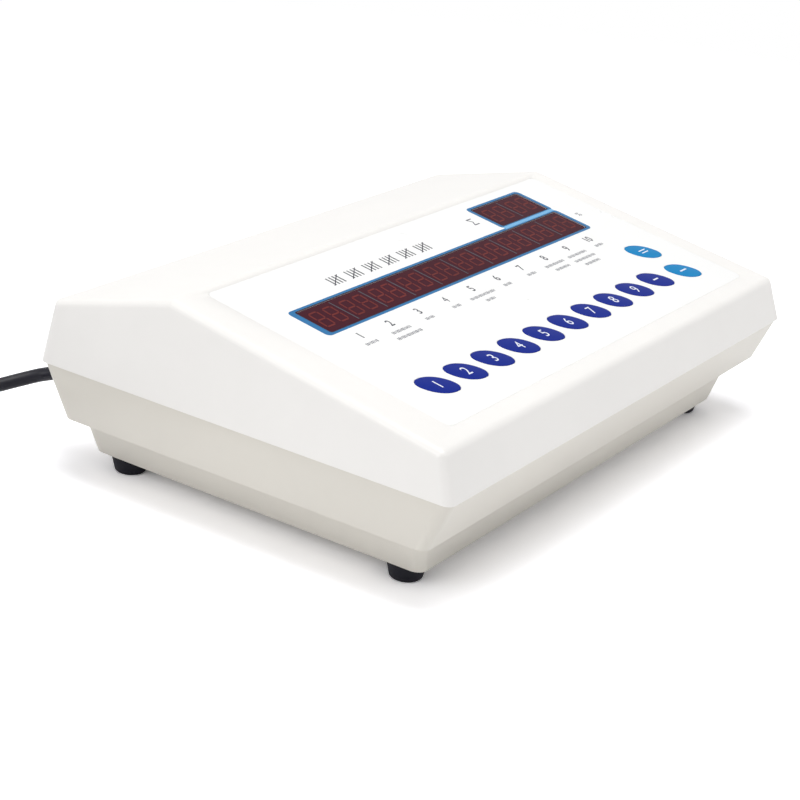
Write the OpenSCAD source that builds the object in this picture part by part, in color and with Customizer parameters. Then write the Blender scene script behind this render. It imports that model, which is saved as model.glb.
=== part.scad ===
// Differential cell counter: a sloped bench console with ten tally keys, two function keys,
// a row of two-digit counters with a total above it, and a captive mains cord.
// X runs along the keys, Y to the rear and Z up.
// The origin is on the table under the middle of the case.

/* [Case] */
// Width of the case at the seam
case_w = 360; // [340:1:400]
// Depth of the case at the seam
case_d = 245; // [236:1:280]
// Height of the seam above the table
seam_h = 59.5; // [56:0.5:70]
// Height of the front top edge
front_h = 83; // [80:0.5:90]
// Height of the ridge
ridge_h = 111.2; // [108:0.2:118]
// Height of the rear top edge
rear_h = 92.2; // [88:0.2:98]
// Distance of the ridge behind the front seam edge
ridge_back = 167; // [163:1:180]
// Lean of the cover's front face, measured at its top
front_lean = 8; // [4:0.5:10]
// Lean of the cover's rear face, measured at its top
rear_lean = 5.3; // [2:0.1:9]
// Draft of the cover's ends, per millimetre of height
end_draft = 0.1; // [0.02:0.01:0.14]
// Edge radius of the cover
cover_r = 4.5; // [3.6:0.1:6]
// Wall of both shells
wall = 3; // [2:0.1:3.4]
// Extra wall under the sloped panel
slope_extra = 2.4; // [2:0.1:3]

/* [Base] */
// Height of the step between the two bands of the base
step_h = 33.5; // [30:0.5:38]
// Height of the base's underside
under_h = 9; // [7:0.5:12]
// How far the base sits inside the cover at the seam
reveal = 0.8; // [0.2:0.1:1.2]
// Inset of the upper band's foot at the front
band_front = 11.3; // [8:0.1:14]
// Inset of the upper band's foot at the rear
band_rear = 16.1; // [13:0.1:19]
// Ledge of the step at the front
ledge_front = 9.1; // [6:0.1:11]
// Ledge of the step at the ends
ledge_end = 11.2; // [8:0.1:13]
// Further inset of the underside at the front
foot_front = 5; // [2:0.1:8]
// Further inset of the underside at the ends
foot_end = 11.5; // [8:0.1:13]
// Corner radius of the base
base_r = 6; // [4:0.1:9]
// Height of the tongue that enters the cover
tongue_h = 3; // [2:0.1:5]
// Thickness of the tongue
tongue_t = 1.8; // [1.2:0.1:2.4]

/* [Feet and case screws] */
// Feet from the middle of the case, along X
foot_x = 146.5; // [135:0.5:148]
// Front feet behind the front seam edge
foot_front_y = 39.5; // [38:0.5:50]
// Rear feet in front of the rear seam edge
foot_rear_y = 34.5; // [32:0.5:45]
// Top radius of a foot
foot_r = 10; // [8:0.1:11]
// Bottom radius of a foot
foot_tip_r = 8.2; // [6:0.1:9]
// Radius of a case screw's shank
screw_r = 2; // [1.5:0.1:2.2]
// Radius of a case screw's head
screw_head_r = 4; // [3.2:0.1:4.4]
// Height of a case screw's head
screw_head_h = 2.6; // [1.6:0.1:3]
// Depth of a case screw in the cover's post
screw_grip = 12; // [8:0.5:18]
// Radius of the posts that the case screws run in
post_r = 6; // [4.5:0.1:7]

/* [Panel] */
// Width of the overlay
overlay_w = 313.6; // [310:0.2:320]
// Length of the overlay up the slope
overlay_l = 145; // [143:0.5:147]
// Overlay centre right of the case's middle
overlay_x = 3; // [-2:0.5:6]
// Overlay's front edge up the slope
overlay_v = 11.8; // [9:0.1:12]
// Thickness of the overlay
overlay_t = 1.7; // [1.5:0.1:2]
// Corner radius of the overlay
overlay_r = 4; // [2:0.1:8]
// Thickness of the membrane circuit
membrane_t = 0.5; // [0.3:0.05:0.6]
// Clearance round a piece set into the panel
panel_gap = 0.2; // [0.1:0.05:0.3]

/* [Keys] */
// Distance from one tally key to the next
key_pitch = 25; // [23:0.1:25.4]
// Middle of the key row, right of the case's middle
key_row_x = -12.4; // [-14:0.1:-9]
// Tally keys up the slope
key_v = 38.2; // [34:0.1:44]
// Half width of a key
key_a = 7.8; // [7:0.1:9]
// Half length of a key
key_b = 11.8; // [11:0.1:12.4]
// Radius of a key's ends
key_end_r = 5.2; // [4.6:0.1:6]
// Turn of a key's long axis to the left of the slope's direction
key_turn = 52; // [40:1:90]
// Thickness of a key
key_t = 0.85; // [0.7:0.05:1]
// Height of a key over the overlay
key_proud = 0.15; // [0:0.05:0.3]
// Travel of a key
key_travel = 0.4; // [0.3:0.05:0.5]
// Function keys right of the case's middle
func_x = 129; // [126:0.1:134]
// Front function key up the slope
func_v = 35.3; // [33:0.1:40]
// Distance between the function keys
func_pitch = 26.5; // [25:0.1:30]
// Radius of a key's dome contact
dome_r = 4; // [3:0.1:5]
// Thickness of a dome contact
dome_t = 0.3; // [0.2:0.05:0.35]

/* [Displays] */
// Width of a two-digit display module
module_w = 25.1; // [24:0.1:25.3]
// Length of a display module up the slope
module_l = 19; // [17:0.1:20]
// Height of a display module
module_h = 8; // [6:0.1:9]
// Distance from one display module to the next
module_pitch = 25.37; // [25.35:0.01:25.6]
// Middle of the count window, right of the case's middle
count_x = -1.35; // [-3:0.05:0]
// Middle of the count window up the slope
count_v = 109.9; // [108:0.1:111]
// Length of the windows up the slope
window_l = 21.9; // [21:0.1:23]
// Middle of the total window, right of the case's middle
total_x = 100.4; // [98:0.1:103]
// Middle of the total window up the slope
total_v = 137; // [136.5:0.1:138]
// Ledge of the cover under each window
window_ledge = 1.5; // [1:0.1:1.8]
// Room between the panel and the display modules
module_gap = 0.6; // [0.4:0.1:1.5]
// Thickness of the circuit boards
board_t = 1.6; // [1:0.1:2]
// Width of the display board
display_w = 284; // [282:1:290]
// Length of the display board up the slope
display_l = 60; // [58:0.5:62]

/* [Electronics] */
// Width of the main board
main_w = 170; // [150:1:180]
// Depth of the main board
main_d = 110; // [100:1:118]
// Middle of the main board, right of the case's middle
main_x = 38; // [30:1:44]
// Middle of the main board behind the front seam edge
main_back = 104.5; // [98.5:1:110.5]
// Height of the posts under the main board
main_post = 8; // [6:0.5:12]
// Width of the transformer's core
core_w = 54; // [50:1:60]
// Stack of the transformer's core
core_stack = 22; // [18:1:26]
// Height of the transformer's core
core_h = 45; // [42:1:50]
// Limb of the transformer's core
core_limb = 9; // [8:0.5:10]
// Middle of the transformer, right of the case's middle
core_x = -106; // [-110:1:-100]
// Middle of the transformer, behind the case's middle
core_y = 20; // [5:1:25]
// Thickness of the transformer's bracket
bracket_t = 1.5; // [1:0.1:2]

/* [Rear wall] */
// Switch right of the case's middle
switch_x = 118; // [100:1:130]
// Width of the switch body
switch_w = 19; // [18:0.1:20]
// Height of the switch body
switch_l = 13; // [12:0.1:14]
// Depth of the switch body
switch_h = 15; // [13:0.5:18]
// Tilt of the rocker to each side
rocker_tilt = 10; // [6:0.5:12]
// Fuse holder right of the case's middle
fuse_x = 84; // [70:1:92]
// Radius of the fuse holder's barrel
fuse_r = 6.2; // [5.8:0.1:7]
// Radius of the fuse cap's stem
fuse_stem_r = 3.6; // [3.2:0.1:4]

/* [Cord] */
// Radius of the mains cord
cord_r = 3.6; // [3.2:0.1:3.8]
// Cord outlet left of the case's middle
cord_x = 148; // [146:0.5:150]
// Height of the cord outlet
cord_z = 43; // [42:0.5:44]
// Clearance between neighbouring turns of the coiled cord
coil_gap = 0.6; // [0.5:0.1:1.5]
// Inner radius of the coil, to the middle of the cord
coil_in_r = 30; // [28:0.5:34]
// Thickness of the tie round the coil
tie_t = 1; // [0.6:0.1:1.2]
// Width of the tie
tie_w = 8; // [6:0.5:12]
// Width of the plug's body
plug_w = 26; // [24:0.5:30]
// Length of the plug's body
plug_l = 34; // [30:0.5:40]

/* [Hidden] */

$fn = 48;
eps = 0.01;
far = 400;
hull_fn = 32;
fit_gap = 0.05;          // radial clearance of a shaft in its bore
key_count = 10;
count_modules = 10;
total_modules = 2;

floor_h = under_h + wall;
front_y = -case_d / 2;
rear_y = case_d / 2;
main_y = front_y + main_back;
slope_run = ridge_back - front_lean;
slope_a = atan((ridge_h - front_h) / slope_run);
slope_len = norm([slope_run, ridge_h - front_h]);
skin_in = wall + slope_extra;           // cover thickness under the slope
stack_t = membrane_t + overlay_t;       // what the recess holds
recess_d = stack_t + 0.1;

// Cover profile in Y and Z, seen from the right end, with its foot below the seam
cut_drop = 14;
front_slant = front_lean / (front_h - seam_h);
rear_slant = rear_lean / (rear_h - seam_h);
cover_profile = [
    [front_y - front_slant * cut_drop, seam_h - cut_drop],
    [rear_y + rear_slant * cut_drop, seam_h - cut_drop],
    [rear_y - rear_lean, rear_h],
    [front_y + ridge_back, ridge_h],
    [front_y + front_lean, front_h]];

function inward(p, q) = let (d = (q - p) / norm(q - p)) [-d.y, d.x];
// Corner q of a profile, moved inwards by d1 from edge pq and by d2 from edge qr
function inset_corner(p, q, r, d1, d2) =
    let (n1 = inward(p, q), n2 = inward(q, r), k = n1 * n2)
    q + n1 * (d1 - k * d2) / (1 - k * k) + n2 * (d2 - k * d1) / (1 - k * k);
// Profile moved inwards by one distance for each edge
function inset_profile(p, d) = let (n = len(p))
    [for (i = [0:n - 1]) inset_corner(p[(i + n - 1) % n], p[i], p[(i + 1) % n],
        d[(i + n - 1) % n], d[i])];

// Solid with rounded edges over the cover profile; slope is what its panel side loses
module roof_form(r, slope) {
    centres = inset_profile(cover_profile, [cover_r, cover_r, cover_r, cover_r + slope, cover_r]);
    hull() for (c = centres, s = [-1, 1])
        translate([s * (case_w / 2 - end_draft * (c.y - seam_h)
            - cover_r * sqrt(1 + end_draft * end_draft)), c.x, c.y]) sphere(r, $fn = hull_fn);
}

// Frame of the sloped panel: X along the keys, Y up the slope from the front edge, Z outwards
module on_slope(x = 0, v = 0, h = 0) {
    translate([0, front_y + front_lean, front_h]) rotate([slope_a, 0, 0])
        translate([x, v, h]) children();
}

module rounded_rect(w, l, r) {
    square([w - 2 * r, l], center = true);
    square([w, l - 2 * r], center = true);
    for (x = [-1, 1], y = [-1, 1]) translate([x * (w / 2 - r), y * (l / 2 - r)]) circle(r);
}

module plate(w, l, t, r) linear_extrude(t) rounded_rect(w, l, r);

// Oval of half width a and half length b, from four tangent arcs
module oval(a, b, r) {
    side_r = (a + r + (b - r) * (b - r) / (a - r)) / 2;
    reach = norm([side_r - a, b - r]);
    join_y = (b - r) * (1 + r / reach);
    intersection() {
        translate([side_r - a, 0]) circle(side_r, $fn = 96);
        translate([a - side_r, 0]) circle(side_r, $fn = 96);
        square([2 * b, 2 * join_y], center = true);
    }
    for (s = [-1, 1]) translate([0, s * (b - r)]) circle(r);
}

module at_feet() {
    for (x = [-foot_x, foot_x], y = [front_y + foot_front_y, rear_y - foot_rear_y])
        translate([x, y, 0]) children();
}

// Key centres on the slope: ten tally keys, then two function keys
key_spots = concat(
    [for (i = [0:key_count - 1]) [key_row_x + (i - (key_count - 1) / 2) * key_pitch, key_v]],
    [for (i = [0:1]) [func_x, func_v + i * func_pitch]]);

// Windows: middle and width of the openings in the overlay
count_w = count_modules * module_pitch;
total_w = total_modules * module_pitch - (module_pitch - module_w);
window_r = 1.5;

// Keypad tail slot through the cover, behind the front function key's column
tail_w = 24;
tail_x = overlay_x + overlay_w / 2 - 42;
tail_slot_v = 80;
tail_t = 0.4;

// Display board, hung under the slope
module_top = -skin_in - module_gap;
display_top = module_top - module_h;
display_x = 2;
display_v = (count_v + total_v) / 2;
display_boss_r = 3.4;
display_boss_x = display_w / 2 - 5;
display_boss_v = display_l / 2 - 5;
small_screw_r = 1.25;

module at_display_bosses(h) {
    for (x = [-1, 1], v = [-1, 1])
        on_slope(display_x + x * display_boss_x, display_v + v * display_boss_v, h) children();
}

// ---- Cover ----

module cover_posts() {
    intersection() {
        at_feet() {
            cylinder(r = post_r, h = ridge_h);
            for (a = [0:90:270]) rotate(a) translate([0, -wall / 4, 0])
                cube([post_r + 4, wall / 2, ridge_h]);
        }
        roof_form(cover_r - wall / 2, slope_extra / 2);
    }
}

module top_cover() {
    color("whitesmoke") difference() {
        union() {
            difference() {
                roof_form(cover_r, 0);
                roof_form(cover_r - wall, slope_extra);
            }
            cover_posts();
            intersection() {
                at_display_bosses(display_top) cylinder(r = display_boss_r, h = -display_top - wall);
                translate([-far, -far, seam_h]) cube(2 * far);
            }
        }
        translate([-far, -far, seam_h - far]) cube([2 * far, 2 * far, far]);
        at_feet() cylinder(r = screw_r + fit_gap, h = seam_h + screw_grip + 4);
        at_display_bosses(display_top - eps) cylinder(r = small_screw_r, h = 6);
        on_slope(overlay_x, overlay_v + overlay_l / 2, -recess_d)
            plate(overlay_w + 2 * panel_gap, overlay_l + 2 * panel_gap, far, overlay_r);
        on_slope(count_x, count_v, -far / 8)
            plate(count_w - 2 * window_ledge, window_l - 2 * window_ledge, far / 4, window_r);
        on_slope(total_x, total_v, -far / 8)
            plate(total_w - 2 * window_ledge, window_l - 2 * window_ledge, far / 4, window_r);
        on_slope(tail_x, tail_slot_v, -far / 8)
            cube([tail_w + 2, 2.4, far / 4], center = true);
    }
}

// ---- Base ----

// Rounded rectangle of the case at height z, moved in by a distance for front, ends and rear
module case_slab(z, front, ends, rear, r) {
    translate([0, (front - rear) / 2, z]) linear_extrude(eps)
        rounded_rect(case_w - 2 * ends, case_d - front - rear, r, $fn = hull_fn);
}

rear_run = band_rear - reveal;
wall_a = atan(rear_run / (seam_h - step_h));     // lean of the upper band's rear wall
rear_mid_z = (seam_h + step_h) / 2;

// Insets of the two bands at height z
function upper_front(z) = reveal + (band_front - reveal) * (seam_h - z) / (seam_h - step_h);
function upper_rear(z) = reveal + rear_run * (seam_h - z) / (seam_h - step_h);
function lower_part(z) = (step_h - z) / (step_h - under_h);

module upper_band(t, z_low, z_high) {
    hull() for (z = [z_low, z_high - eps])
        case_slab(z, upper_front(z) + t, reveal + t, upper_rear(z) + t, base_r - t / 2);
}

module lower_band(t, z_low) {
    hull() for (z = [z_low, step_h - eps])
        case_slab(z, band_front + ledge_front + foot_front * lower_part(z) + t,
            reveal + ledge_end + foot_end * lower_part(z) + t,
            band_rear + 1 + 0.5 * lower_part(z) + t, base_r - t / 2);
}

// Frame of the upper band's rear wall: Z outwards, Y down the wall, from its middle
module on_rear_wall(x, drop = 0) {
    translate([x, rear_y - (reveal + band_rear) / 2, rear_mid_z]) rotate([-(90 + wall_a), 0, 0])
        translate([0, drop, 0]) children();
}

pocket_w = 28;
pocket_top = cord_z + 11;
pocket_low = step_h + 1;
pocket_y = rear_y - 19;               // upright face that the cord outlet seats on

module tongue() {
    front_in = wall + 0.3 + front_slant * tongue_h;
    ends_in = wall + 0.3 + end_draft * tongue_h;
    rear_in = wall + 0.3 + rear_slant * tongue_h;
    low = seam_h - wall;
    difference() {
        translate([0, (front_in - rear_in) / 2, low]) plate(case_w - 2 * ends_in,
            case_d - front_in - rear_in, seam_h + tongue_h - low, base_r - wall / 2);
        translate([0, (front_in - rear_in) / 2, low - eps]) plate(case_w - 2 * ends_in - 2 * tongue_t,
            case_d - front_in - rear_in - 2 * tongue_t, far, base_r - wall / 2 - tongue_t / 2);
    }
}

module at_main_posts() {
    for (x = [-1, 1], y = [-1, 1])
        translate([main_x + x * (main_w / 2 - 5), main_y + y * (main_d / 2 - 5), 0]) children();
}

bracket_w = core_w + 24;
module at_transformer_posts() {
    for (s = [-1, 1]) translate([core_x + s * (bracket_w / 2 - 5), core_y, 0]) children();
}

module base_tub() {
    color("linen") difference() {
        union() {
            difference() {
                union() {
                    upper_band(0, step_h, seam_h);
                    lower_band(0, under_h);
                }
                difference() {
                    union() {
                        upper_band(wall, step_h + wall, seam_h + 1);
                        lower_band(wall, floor_h);
                        translate([0, (band_front + ledge_front - band_rear) / 2, step_h - 1])
                            plate(case_w - 2 * (reveal + ledge_end + wall),
                                case_d - band_front - ledge_front - band_rear - 1 - 2 * wall,
                                wall + 2, base_r - wall / 2);
                    }
                    translate([-cord_x - pocket_w / 2 - wall, pocket_y - wall, pocket_low - wall])
                        cube([pocket_w + 2 * wall, far, pocket_top - pocket_low + 2 * wall]);
                }
            }
            intersection() {
                at_feet() cylinder(r = post_r, h = seam_h);
                translate([-far, -far, floor_h - 1]) cube([2 * far, 2 * far, far]);
            }
            at_main_posts() translate([0, 0, floor_h - 1]) cylinder(r = 4, h = main_post + 1);
            tongue();
        }
        at_feet() cylinder(r = screw_r + 0.2, h = far);
        at_main_posts() translate([0, 0, floor_h + 0.5]) cylinder(r = small_screw_r, h = far / 8);
        at_transformer_posts() translate([0, 0, under_h + 1]) cylinder(r = small_screw_r, h = wall);
        translate([-cord_x - pocket_w / 2, pocket_y, pocket_low])
            cube([pocket_w, far, pocket_top - pocket_low]);
        translate([-cord_x, pocket_y - wall - 1, cord_z]) rotate([-90, 0, 0])
            cylinder(r = relief_neck_r + fit_gap, h = wall + 2);
        on_rear_wall(switch_x) cube([switch_w + 0.4, switch_l + 0.4, 4 * wall], center = true);
        on_rear_wall(fuse_x, fuse_drop) cylinder(r = fuse_r + 0.1, h = 4 * wall, center = true);
    }
}

module rubber_feet() {
    color("#15151c") at_feet() rotate_extrude() difference() {
        polygon([[0, 0], [foot_tip_r - 0.8, 0], [foot_tip_r, 0.8], [foot_r, under_h - 1],
            [foot_r, under_h], [0, under_h]]);
        square([screw_head_r + 0.3, under_h - wall]);
        square([screw_r + 0.2, under_h + 1]);
    }
}

module case_screws() {
    color("silver") at_feet() difference() {
        union() {
            translate([0, 0, under_h - wall - screw_head_h])
                cylinder(r1 = screw_head_r - 0.5, r2 = screw_head_r, h = screw_head_h);
            translate([0, 0, under_h - wall - eps])
                cylinder(r = screw_r, h = seam_h + screw_grip - under_h + wall);
        }
        translate([0, 0, under_h - wall - screw_head_h - eps]) for (a = [0, 90]) rotate(a)
            translate([-screw_head_r * 0.55, -0.5, 0]) cube([screw_head_r * 1.1, 1, 1.4]);
    }
}

// ---- Panel ----

module membrane_circuit() {
    color("#c9cbb8") difference() {
        on_slope(overlay_x, overlay_v + overlay_l / 2, -recess_d)
            plate(overlay_w, overlay_l, membrane_t, overlay_r);
        on_slope(count_x, count_v, -far / 8) plate(count_w, window_l, far / 4, window_r);
        on_slope(total_x, total_v, -far / 8) plate(total_w, window_l, far / 4, window_r);
        on_slope(tail_x, tail_slot_v, -far / 8)
            cube([tail_w + 2, 2.4, far / 4], center = true);
    }
}

module overlay() {
    color("white") difference() {
        on_slope(overlay_x, overlay_v + overlay_l / 2, -recess_d + membrane_t)
            plate(overlay_w, overlay_l, overlay_t, overlay_r);
        on_slope(count_x, count_v, -far / 8) plate(count_w, window_l, far / 4, window_r);
        on_slope(total_x, total_v, -far / 8) plate(total_w, window_l, far / 4, window_r);
        for (p = key_spots) on_slope(p.x, p.y, -far / 8)
            linear_extrude(far / 4) rotate(key_turn) oval(key_a, key_b, key_end_r);
    }
}

module window_filter(x, v, w) {
    on_slope(x, v, -recess_d)
        plate(w - 2 * panel_gap, window_l - 2 * panel_gap, stack_t - 0.1, window_r);
}

module count_filter() color("#6a2030") window_filter(count_x, count_v, count_w);

module total_filter() color("#6a2030") window_filter(total_x, total_v, total_w);

module key_cap(i) {
    on_slope(key_spots[i].x, key_spots[i].y, -recess_d + stack_t + key_proud - key_t)
        linear_extrude(key_t) rotate(key_turn)
            oval(key_a - panel_gap, key_b - panel_gap, key_end_r - panel_gap);
}

module tally_key(i) color("#3245a1") key_cap(i);

module function_key(i) color("#4f9fd0") key_cap(key_count + i);

module dome_contacts() {
    color("silver") for (p = key_spots) on_slope(p.x, p.y, -recess_d + membrane_t)
        cylinder(r1 = dome_r, r2 = dome_r - 1, h = dome_t);
}

// ---- Displays ----

header_w = 33;
header_l = 9;
header_h = 8.5;
ribbon_x = 30;
ribbon_w = 25;
display_header_v = -14;

module display_board() {
    color("darkgreen") difference() {
        on_slope(display_x, display_v, display_top - board_t)
            plate(display_w, display_l, board_t, 2);
        at_display_bosses(display_top - board_t - 1) cylinder(r = 1.6, h = board_t + 2);
    }
}

module digit_modules(n, x, v) {
    for (i = [0:n - 1])
        on_slope(x + (i - (n - 1) / 2) * module_pitch - module_w / 2, v - module_l / 2, display_top)
            cube([module_w, module_l, module_h]);
}

module count_digits() color("#2a2226") digit_modules(count_modules, count_x, count_v);

module total_digits() color("#2a2226") digit_modules(total_modules, total_x, total_v);

module pan_screw(r, head_r, head_h, l) {
    translate([0, 0, -head_h]) cylinder(r1 = head_r * 0.8, r2 = head_r, h = head_h);
    cylinder(r = r - fit_gap, h = l);
}

module display_screws() {
    color("silver") at_display_bosses(display_top - board_t)
        pan_screw(small_screw_r, 2.6, 1.8, board_t + 5);
}

// ---- Main board ----

board_z = floor_h + main_post;
deck = board_z + board_t;

module main_board() {
    color("darkgreen") difference() {
        translate([main_x, main_y, board_z]) plate(main_w, main_d, board_t, 2);
        at_main_posts() translate([0, 0, board_z - 1]) cylinder(r = 1.6, h = board_t + 2);
    }
}

module main_board_screws() {
    color("silver") at_main_posts() translate([0, 0, deck]) mirror([0, 0, 1])
        pan_screw(small_screw_r, 2.6, 1.8, board_t + 6);
}

module chip(l, w) {
    chip_h = 3.8;
    stand = 1.2;
    translate([0, 0, stand + chip_h / 2]) cube([l, w, chip_h], center = true);
    for (i = [0:floor(l / 5.08) - 1], s = [-1, 1])
        translate([(i - (floor(l / 5.08) - 1) / 2) * 5.08, s * (w / 2 + 0.5), (stand + 1.9) / 2])
            cube([1.4, 1.02, stand + 1.9], center = true);
}

module controller_chip() color("#26262a") translate([main_x - 25, main_y - 8, deck]) chip(52, 14);

module driver_chips() {
    color("#26262a") for (i = [0:2]) translate([main_x + 12 + i * 14, main_y - 22, deck])
        rotate(90) chip(25, 7);
}

module heat_sink() {
    color("#303236") translate([main_x + 62, main_y + 32, deck]) {
        translate([0, 0, 15]) cube([30, 2.4, 30], center = true);
        for (i = [0:6]) translate([(i - 3) * 4.6, 6.2 - eps, 15])
            cube([1.2, 10, 30], center = true);
    }
}

module regulator() {
    color("#1d1d20") translate([main_x + 62, main_y + 32 - 1.2 - 2.25, deck]) {
        translate([0, 0, 12]) cube([10, 4.5, 9], center = true);
        translate([0, 1.6, 19]) cube([10, 1.3, 6], center = true);
        for (i = [-1:1]) translate([i * 2.54, 0, 3.8]) cube([0.9, 0.6, 7.6], center = true);
    }
}

module filter_capacitor() {
    color("#23304e") translate([main_x + 20, main_y + 34, deck]) rotate_extrude()
        polygon([[0, 0], [7.6, 0], [8, 0.5], [8, 3], [7.5, 3.5], [8, 4], [8, 24.5], [7.5, 25],
            [0, 25]]);
}

module buzzer() {
    color("#141416") translate([main_x - 62, main_y + 30, deck]) difference() {
        cylinder(r = 11, h = 9);
        translate([0, 0, 7]) cylinder(r = 1.5, h = 3);
    }
}

main_header_y = main_y + 6;

module header(w) {
    difference() {
        translate([-w / 2, -header_l / 2, 0]) cube([w, header_l, header_h]);
        translate([-w / 2 + 1.2, -header_l / 2 + 1.2, 2]) cube([w - 2.4, header_l - 2.4, header_h]);
    }
}

module board_headers() {
    color("#202024") {
        translate([ribbon_x, main_header_y, deck]) header(header_w);
        translate([tail_x, main_y - main_d / 2 + 12, deck]) header(tail_w + 6);
        on_slope(ribbon_x, display_v + display_header_v, display_top - board_t) mirror([0, 0, 1])
            header(header_w);
    }
}

// Flat strip of thickness t along points [y, z], width w about x
module strip(points, t, x, w) {
    n = len(points);
    function normal_at(i) = let (d = points[min(i + 1, n - 1)] - points[max(i - 1, 0)])
        [-d.y, d.x] / norm(d);
    sides = concat([for (i = [0:n - 1]) points[i] + normal_at(i) * t / 2],
        [for (i = [n - 1:-1:0]) points[i] - normal_at(i) * t / 2]);
    translate([x - w / 2, 0, 0]) rotate([90, 0, 90]) linear_extrude(w) polygon(sides);
}

// Point of the sloped frame as [y, z]
function slope_yz(v, h) = [front_y + front_lean + v * cos(slope_a) - h * sin(slope_a),
    front_h + v * sin(slope_a) + h * cos(slope_a)];

socket_low = 2.2;               // a ribbon socket stands this far over its board
socket_top = header_h + 2;

module ribbon_cable() {
    low = [main_header_y, deck + socket_top];
    high = slope_yz(display_v + display_header_v, display_top - board_t - socket_top);
    out = slope_yz(display_v + display_header_v, display_top - board_t - socket_top - 4);
    color("#9aa0a8") strip([low, low + [0, 5], low + [1, 10], low + [5, 16],
        [out.x - 8, out.y - 6], [out.x - 2, out.y - 3.5], out, high], 0.9, ribbon_x, ribbon_w);
}

module ribbon_sockets() {
    module socket() translate([0, 0, socket_low]) linear_extrude(socket_top - socket_low)
        square([header_w - 2.8, header_l - 2.8], center = true);
    color("#2b2b30") {
        translate([ribbon_x, main_header_y, deck]) socket();
        on_slope(ribbon_x, display_v + display_header_v, display_top - board_t) mirror([0, 0, 1])
            socket();
    }
}

module keypad_tail() {
    top = slope_yz(tail_slot_v, -recess_d + 0.1);
    under = slope_yz(tail_slot_v, -skin_in - 6);
    low = [main_y - main_d / 2 + 12, deck + 3];
    color("#d8a13a") strip([top, under, under - [3, 8], [low.x + 12, low.y + 24],
        [low.x + 3, low.y + 15], [low.x, low.y + 8], low], tail_t, tail_x, tail_w);
}

// ---- Transformer ----

core_low = floor_h + bracket_t;
coil_side = 11;
window_h = core_h - 2 * core_limb;
centre_limb = 2 * core_limb;
core_window = (core_w - centre_limb - 2 * core_limb) / 2;

module transformer_core() {
    color("#55585e") translate([core_x, core_y, core_low + core_h / 2]) difference() {
        cube([core_w, core_stack, core_h], center = true);
        for (s = [-1, 1]) translate([s * (centre_limb + core_window) / 2, 0, 0])
            cube([core_window, core_stack + 1, window_h], center = true);
    }
}

module transformer_winding() {
    room = 0.2;
    color("#b8863a") translate([core_x, core_y, core_low + core_h / 2]) difference() {
        translate([0, 0, -window_h / 2 + room])
            plate(centre_limb + 2 * core_window - 2 * room, core_stack + 2 * coil_side,
                window_h - 2 * room, 4);
        cube([centre_limb + 2 * room, core_stack + 2 * room, core_h], center = true);
    }
}

module transformer_bracket() {
    color("#a9acb0") difference() {
        translate([core_x, core_y, floor_h]) plate(bracket_w, core_stack, bracket_t, 4);
        at_transformer_posts() cylinder(r = 1.6, h = far / 8);
    }
}

module transformer_screws() {
    color("silver") at_transformer_posts() translate([0, 0, floor_h + bracket_t])
        mirror([0, 0, 1]) pan_screw(small_screw_r, 2.6, 1.8, bracket_t + 1.6);
}

// ---- Rear wall fittings ----

bezel_t = 1.6;
rocker_w = switch_w - 3;
rocker_l = switch_l - 3;
rocker_room = 0.4;
rocker_well = 8;
pivot_r = 1.2;
pivot_h = -1.5;
fuse_drop = 1.5;          // the fuse holder's nut clears the tongue

module switch_housing() {
    color("#17171a") on_rear_wall(switch_x) difference() {
        union() {
            plate(switch_w + 4, switch_l + 3, bezel_t, 1.5);
            translate([0, 0, (eps - switch_h) / 2])
                cube([switch_w, switch_l, switch_h + eps], center = true);
            for (s = [-1, 1]) translate([s * 5, 0, -switch_h - 3.5])
                cube([0.8, 6.3, 7 + 2 * eps], center = true);
        }
        translate([0, 0, -rocker_well / 2 + 1]) cube([rocker_w + 2 * rocker_room,
            rocker_l + 2 * rocker_room, rocker_well + 2], center = true);
        translate([0, 0, pivot_h]) rotate([90, 0, 0])
            cylinder(r = pivot_r + fit_gap, h = rocker_l + 2.4, center = true);
    }
}

module power_rocker() {
    half = rocker_w / 2;
    color("#2a2a30") on_rear_wall(switch_x) translate([0, 0, pivot_h])
        rotate([0, -rocker_tilt, 0]) {
            rotate([90, 0, 0]) linear_extrude(rocker_l, center = true)
                polygon([[-half + 0.8, -1.5], [half - 0.8, -1.5], [half - 0.4, 4.4],
                    [half * 0.55, 3.4], [0, 2.9], [-half * 0.55, 3.4], [-half + 0.4, 4.4]]);
            rotate([90, 0, 0]) cylinder(r = pivot_r, h = rocker_l + 2, center = true);
        }
}

module fuse_holder() {
    color("#17171a") on_rear_wall(fuse_x, fuse_drop) difference() {
        union() {
            cylinder(r = fuse_r + 2, h = 2);
            translate([0, 0, -28]) cylinder(r = fuse_r, h = 28 + eps);
            translate([0, 0, -34]) cube([0.8, 4.8, 12.1], center = true);
        }
        translate([0, 0, -24]) cylinder(r = fuse_stem_r + fit_gap, h = 40);
    }
}

module fuse_nut() {
    color("#2c2c30") on_rear_wall(fuse_x, fuse_drop) translate([0, 0, -wall - 3.5]) difference() {
        cylinder(r = fuse_r + 2.4, h = 3.5 + wall * (1 - cos(wall_a)) - eps, $fn = 6);
        translate([0, 0, -1]) cylinder(r = fuse_r + 0.1, h = 6);
    }
}

module fuse_cap() {
    color("#202024") on_rear_wall(fuse_x, fuse_drop) difference() {
        union() {
            translate([0, 0, 2.2]) cylinder(r1 = fuse_r - 0.2, r2 = fuse_r - 0.8, h = 4);
            translate([0, 0, -14]) cylinder(r = fuse_stem_r, h = 17);
        }
        translate([0, 0, 5.8]) cube([fuse_r * 1.2, 1.2, 1.6], center = true);
    }
}

// ---- Mains cord ----

relief_neck_r = 6;
relief_flange_r = 7.6;
relief_out = 13;
relief_back = wall + 5;

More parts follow.
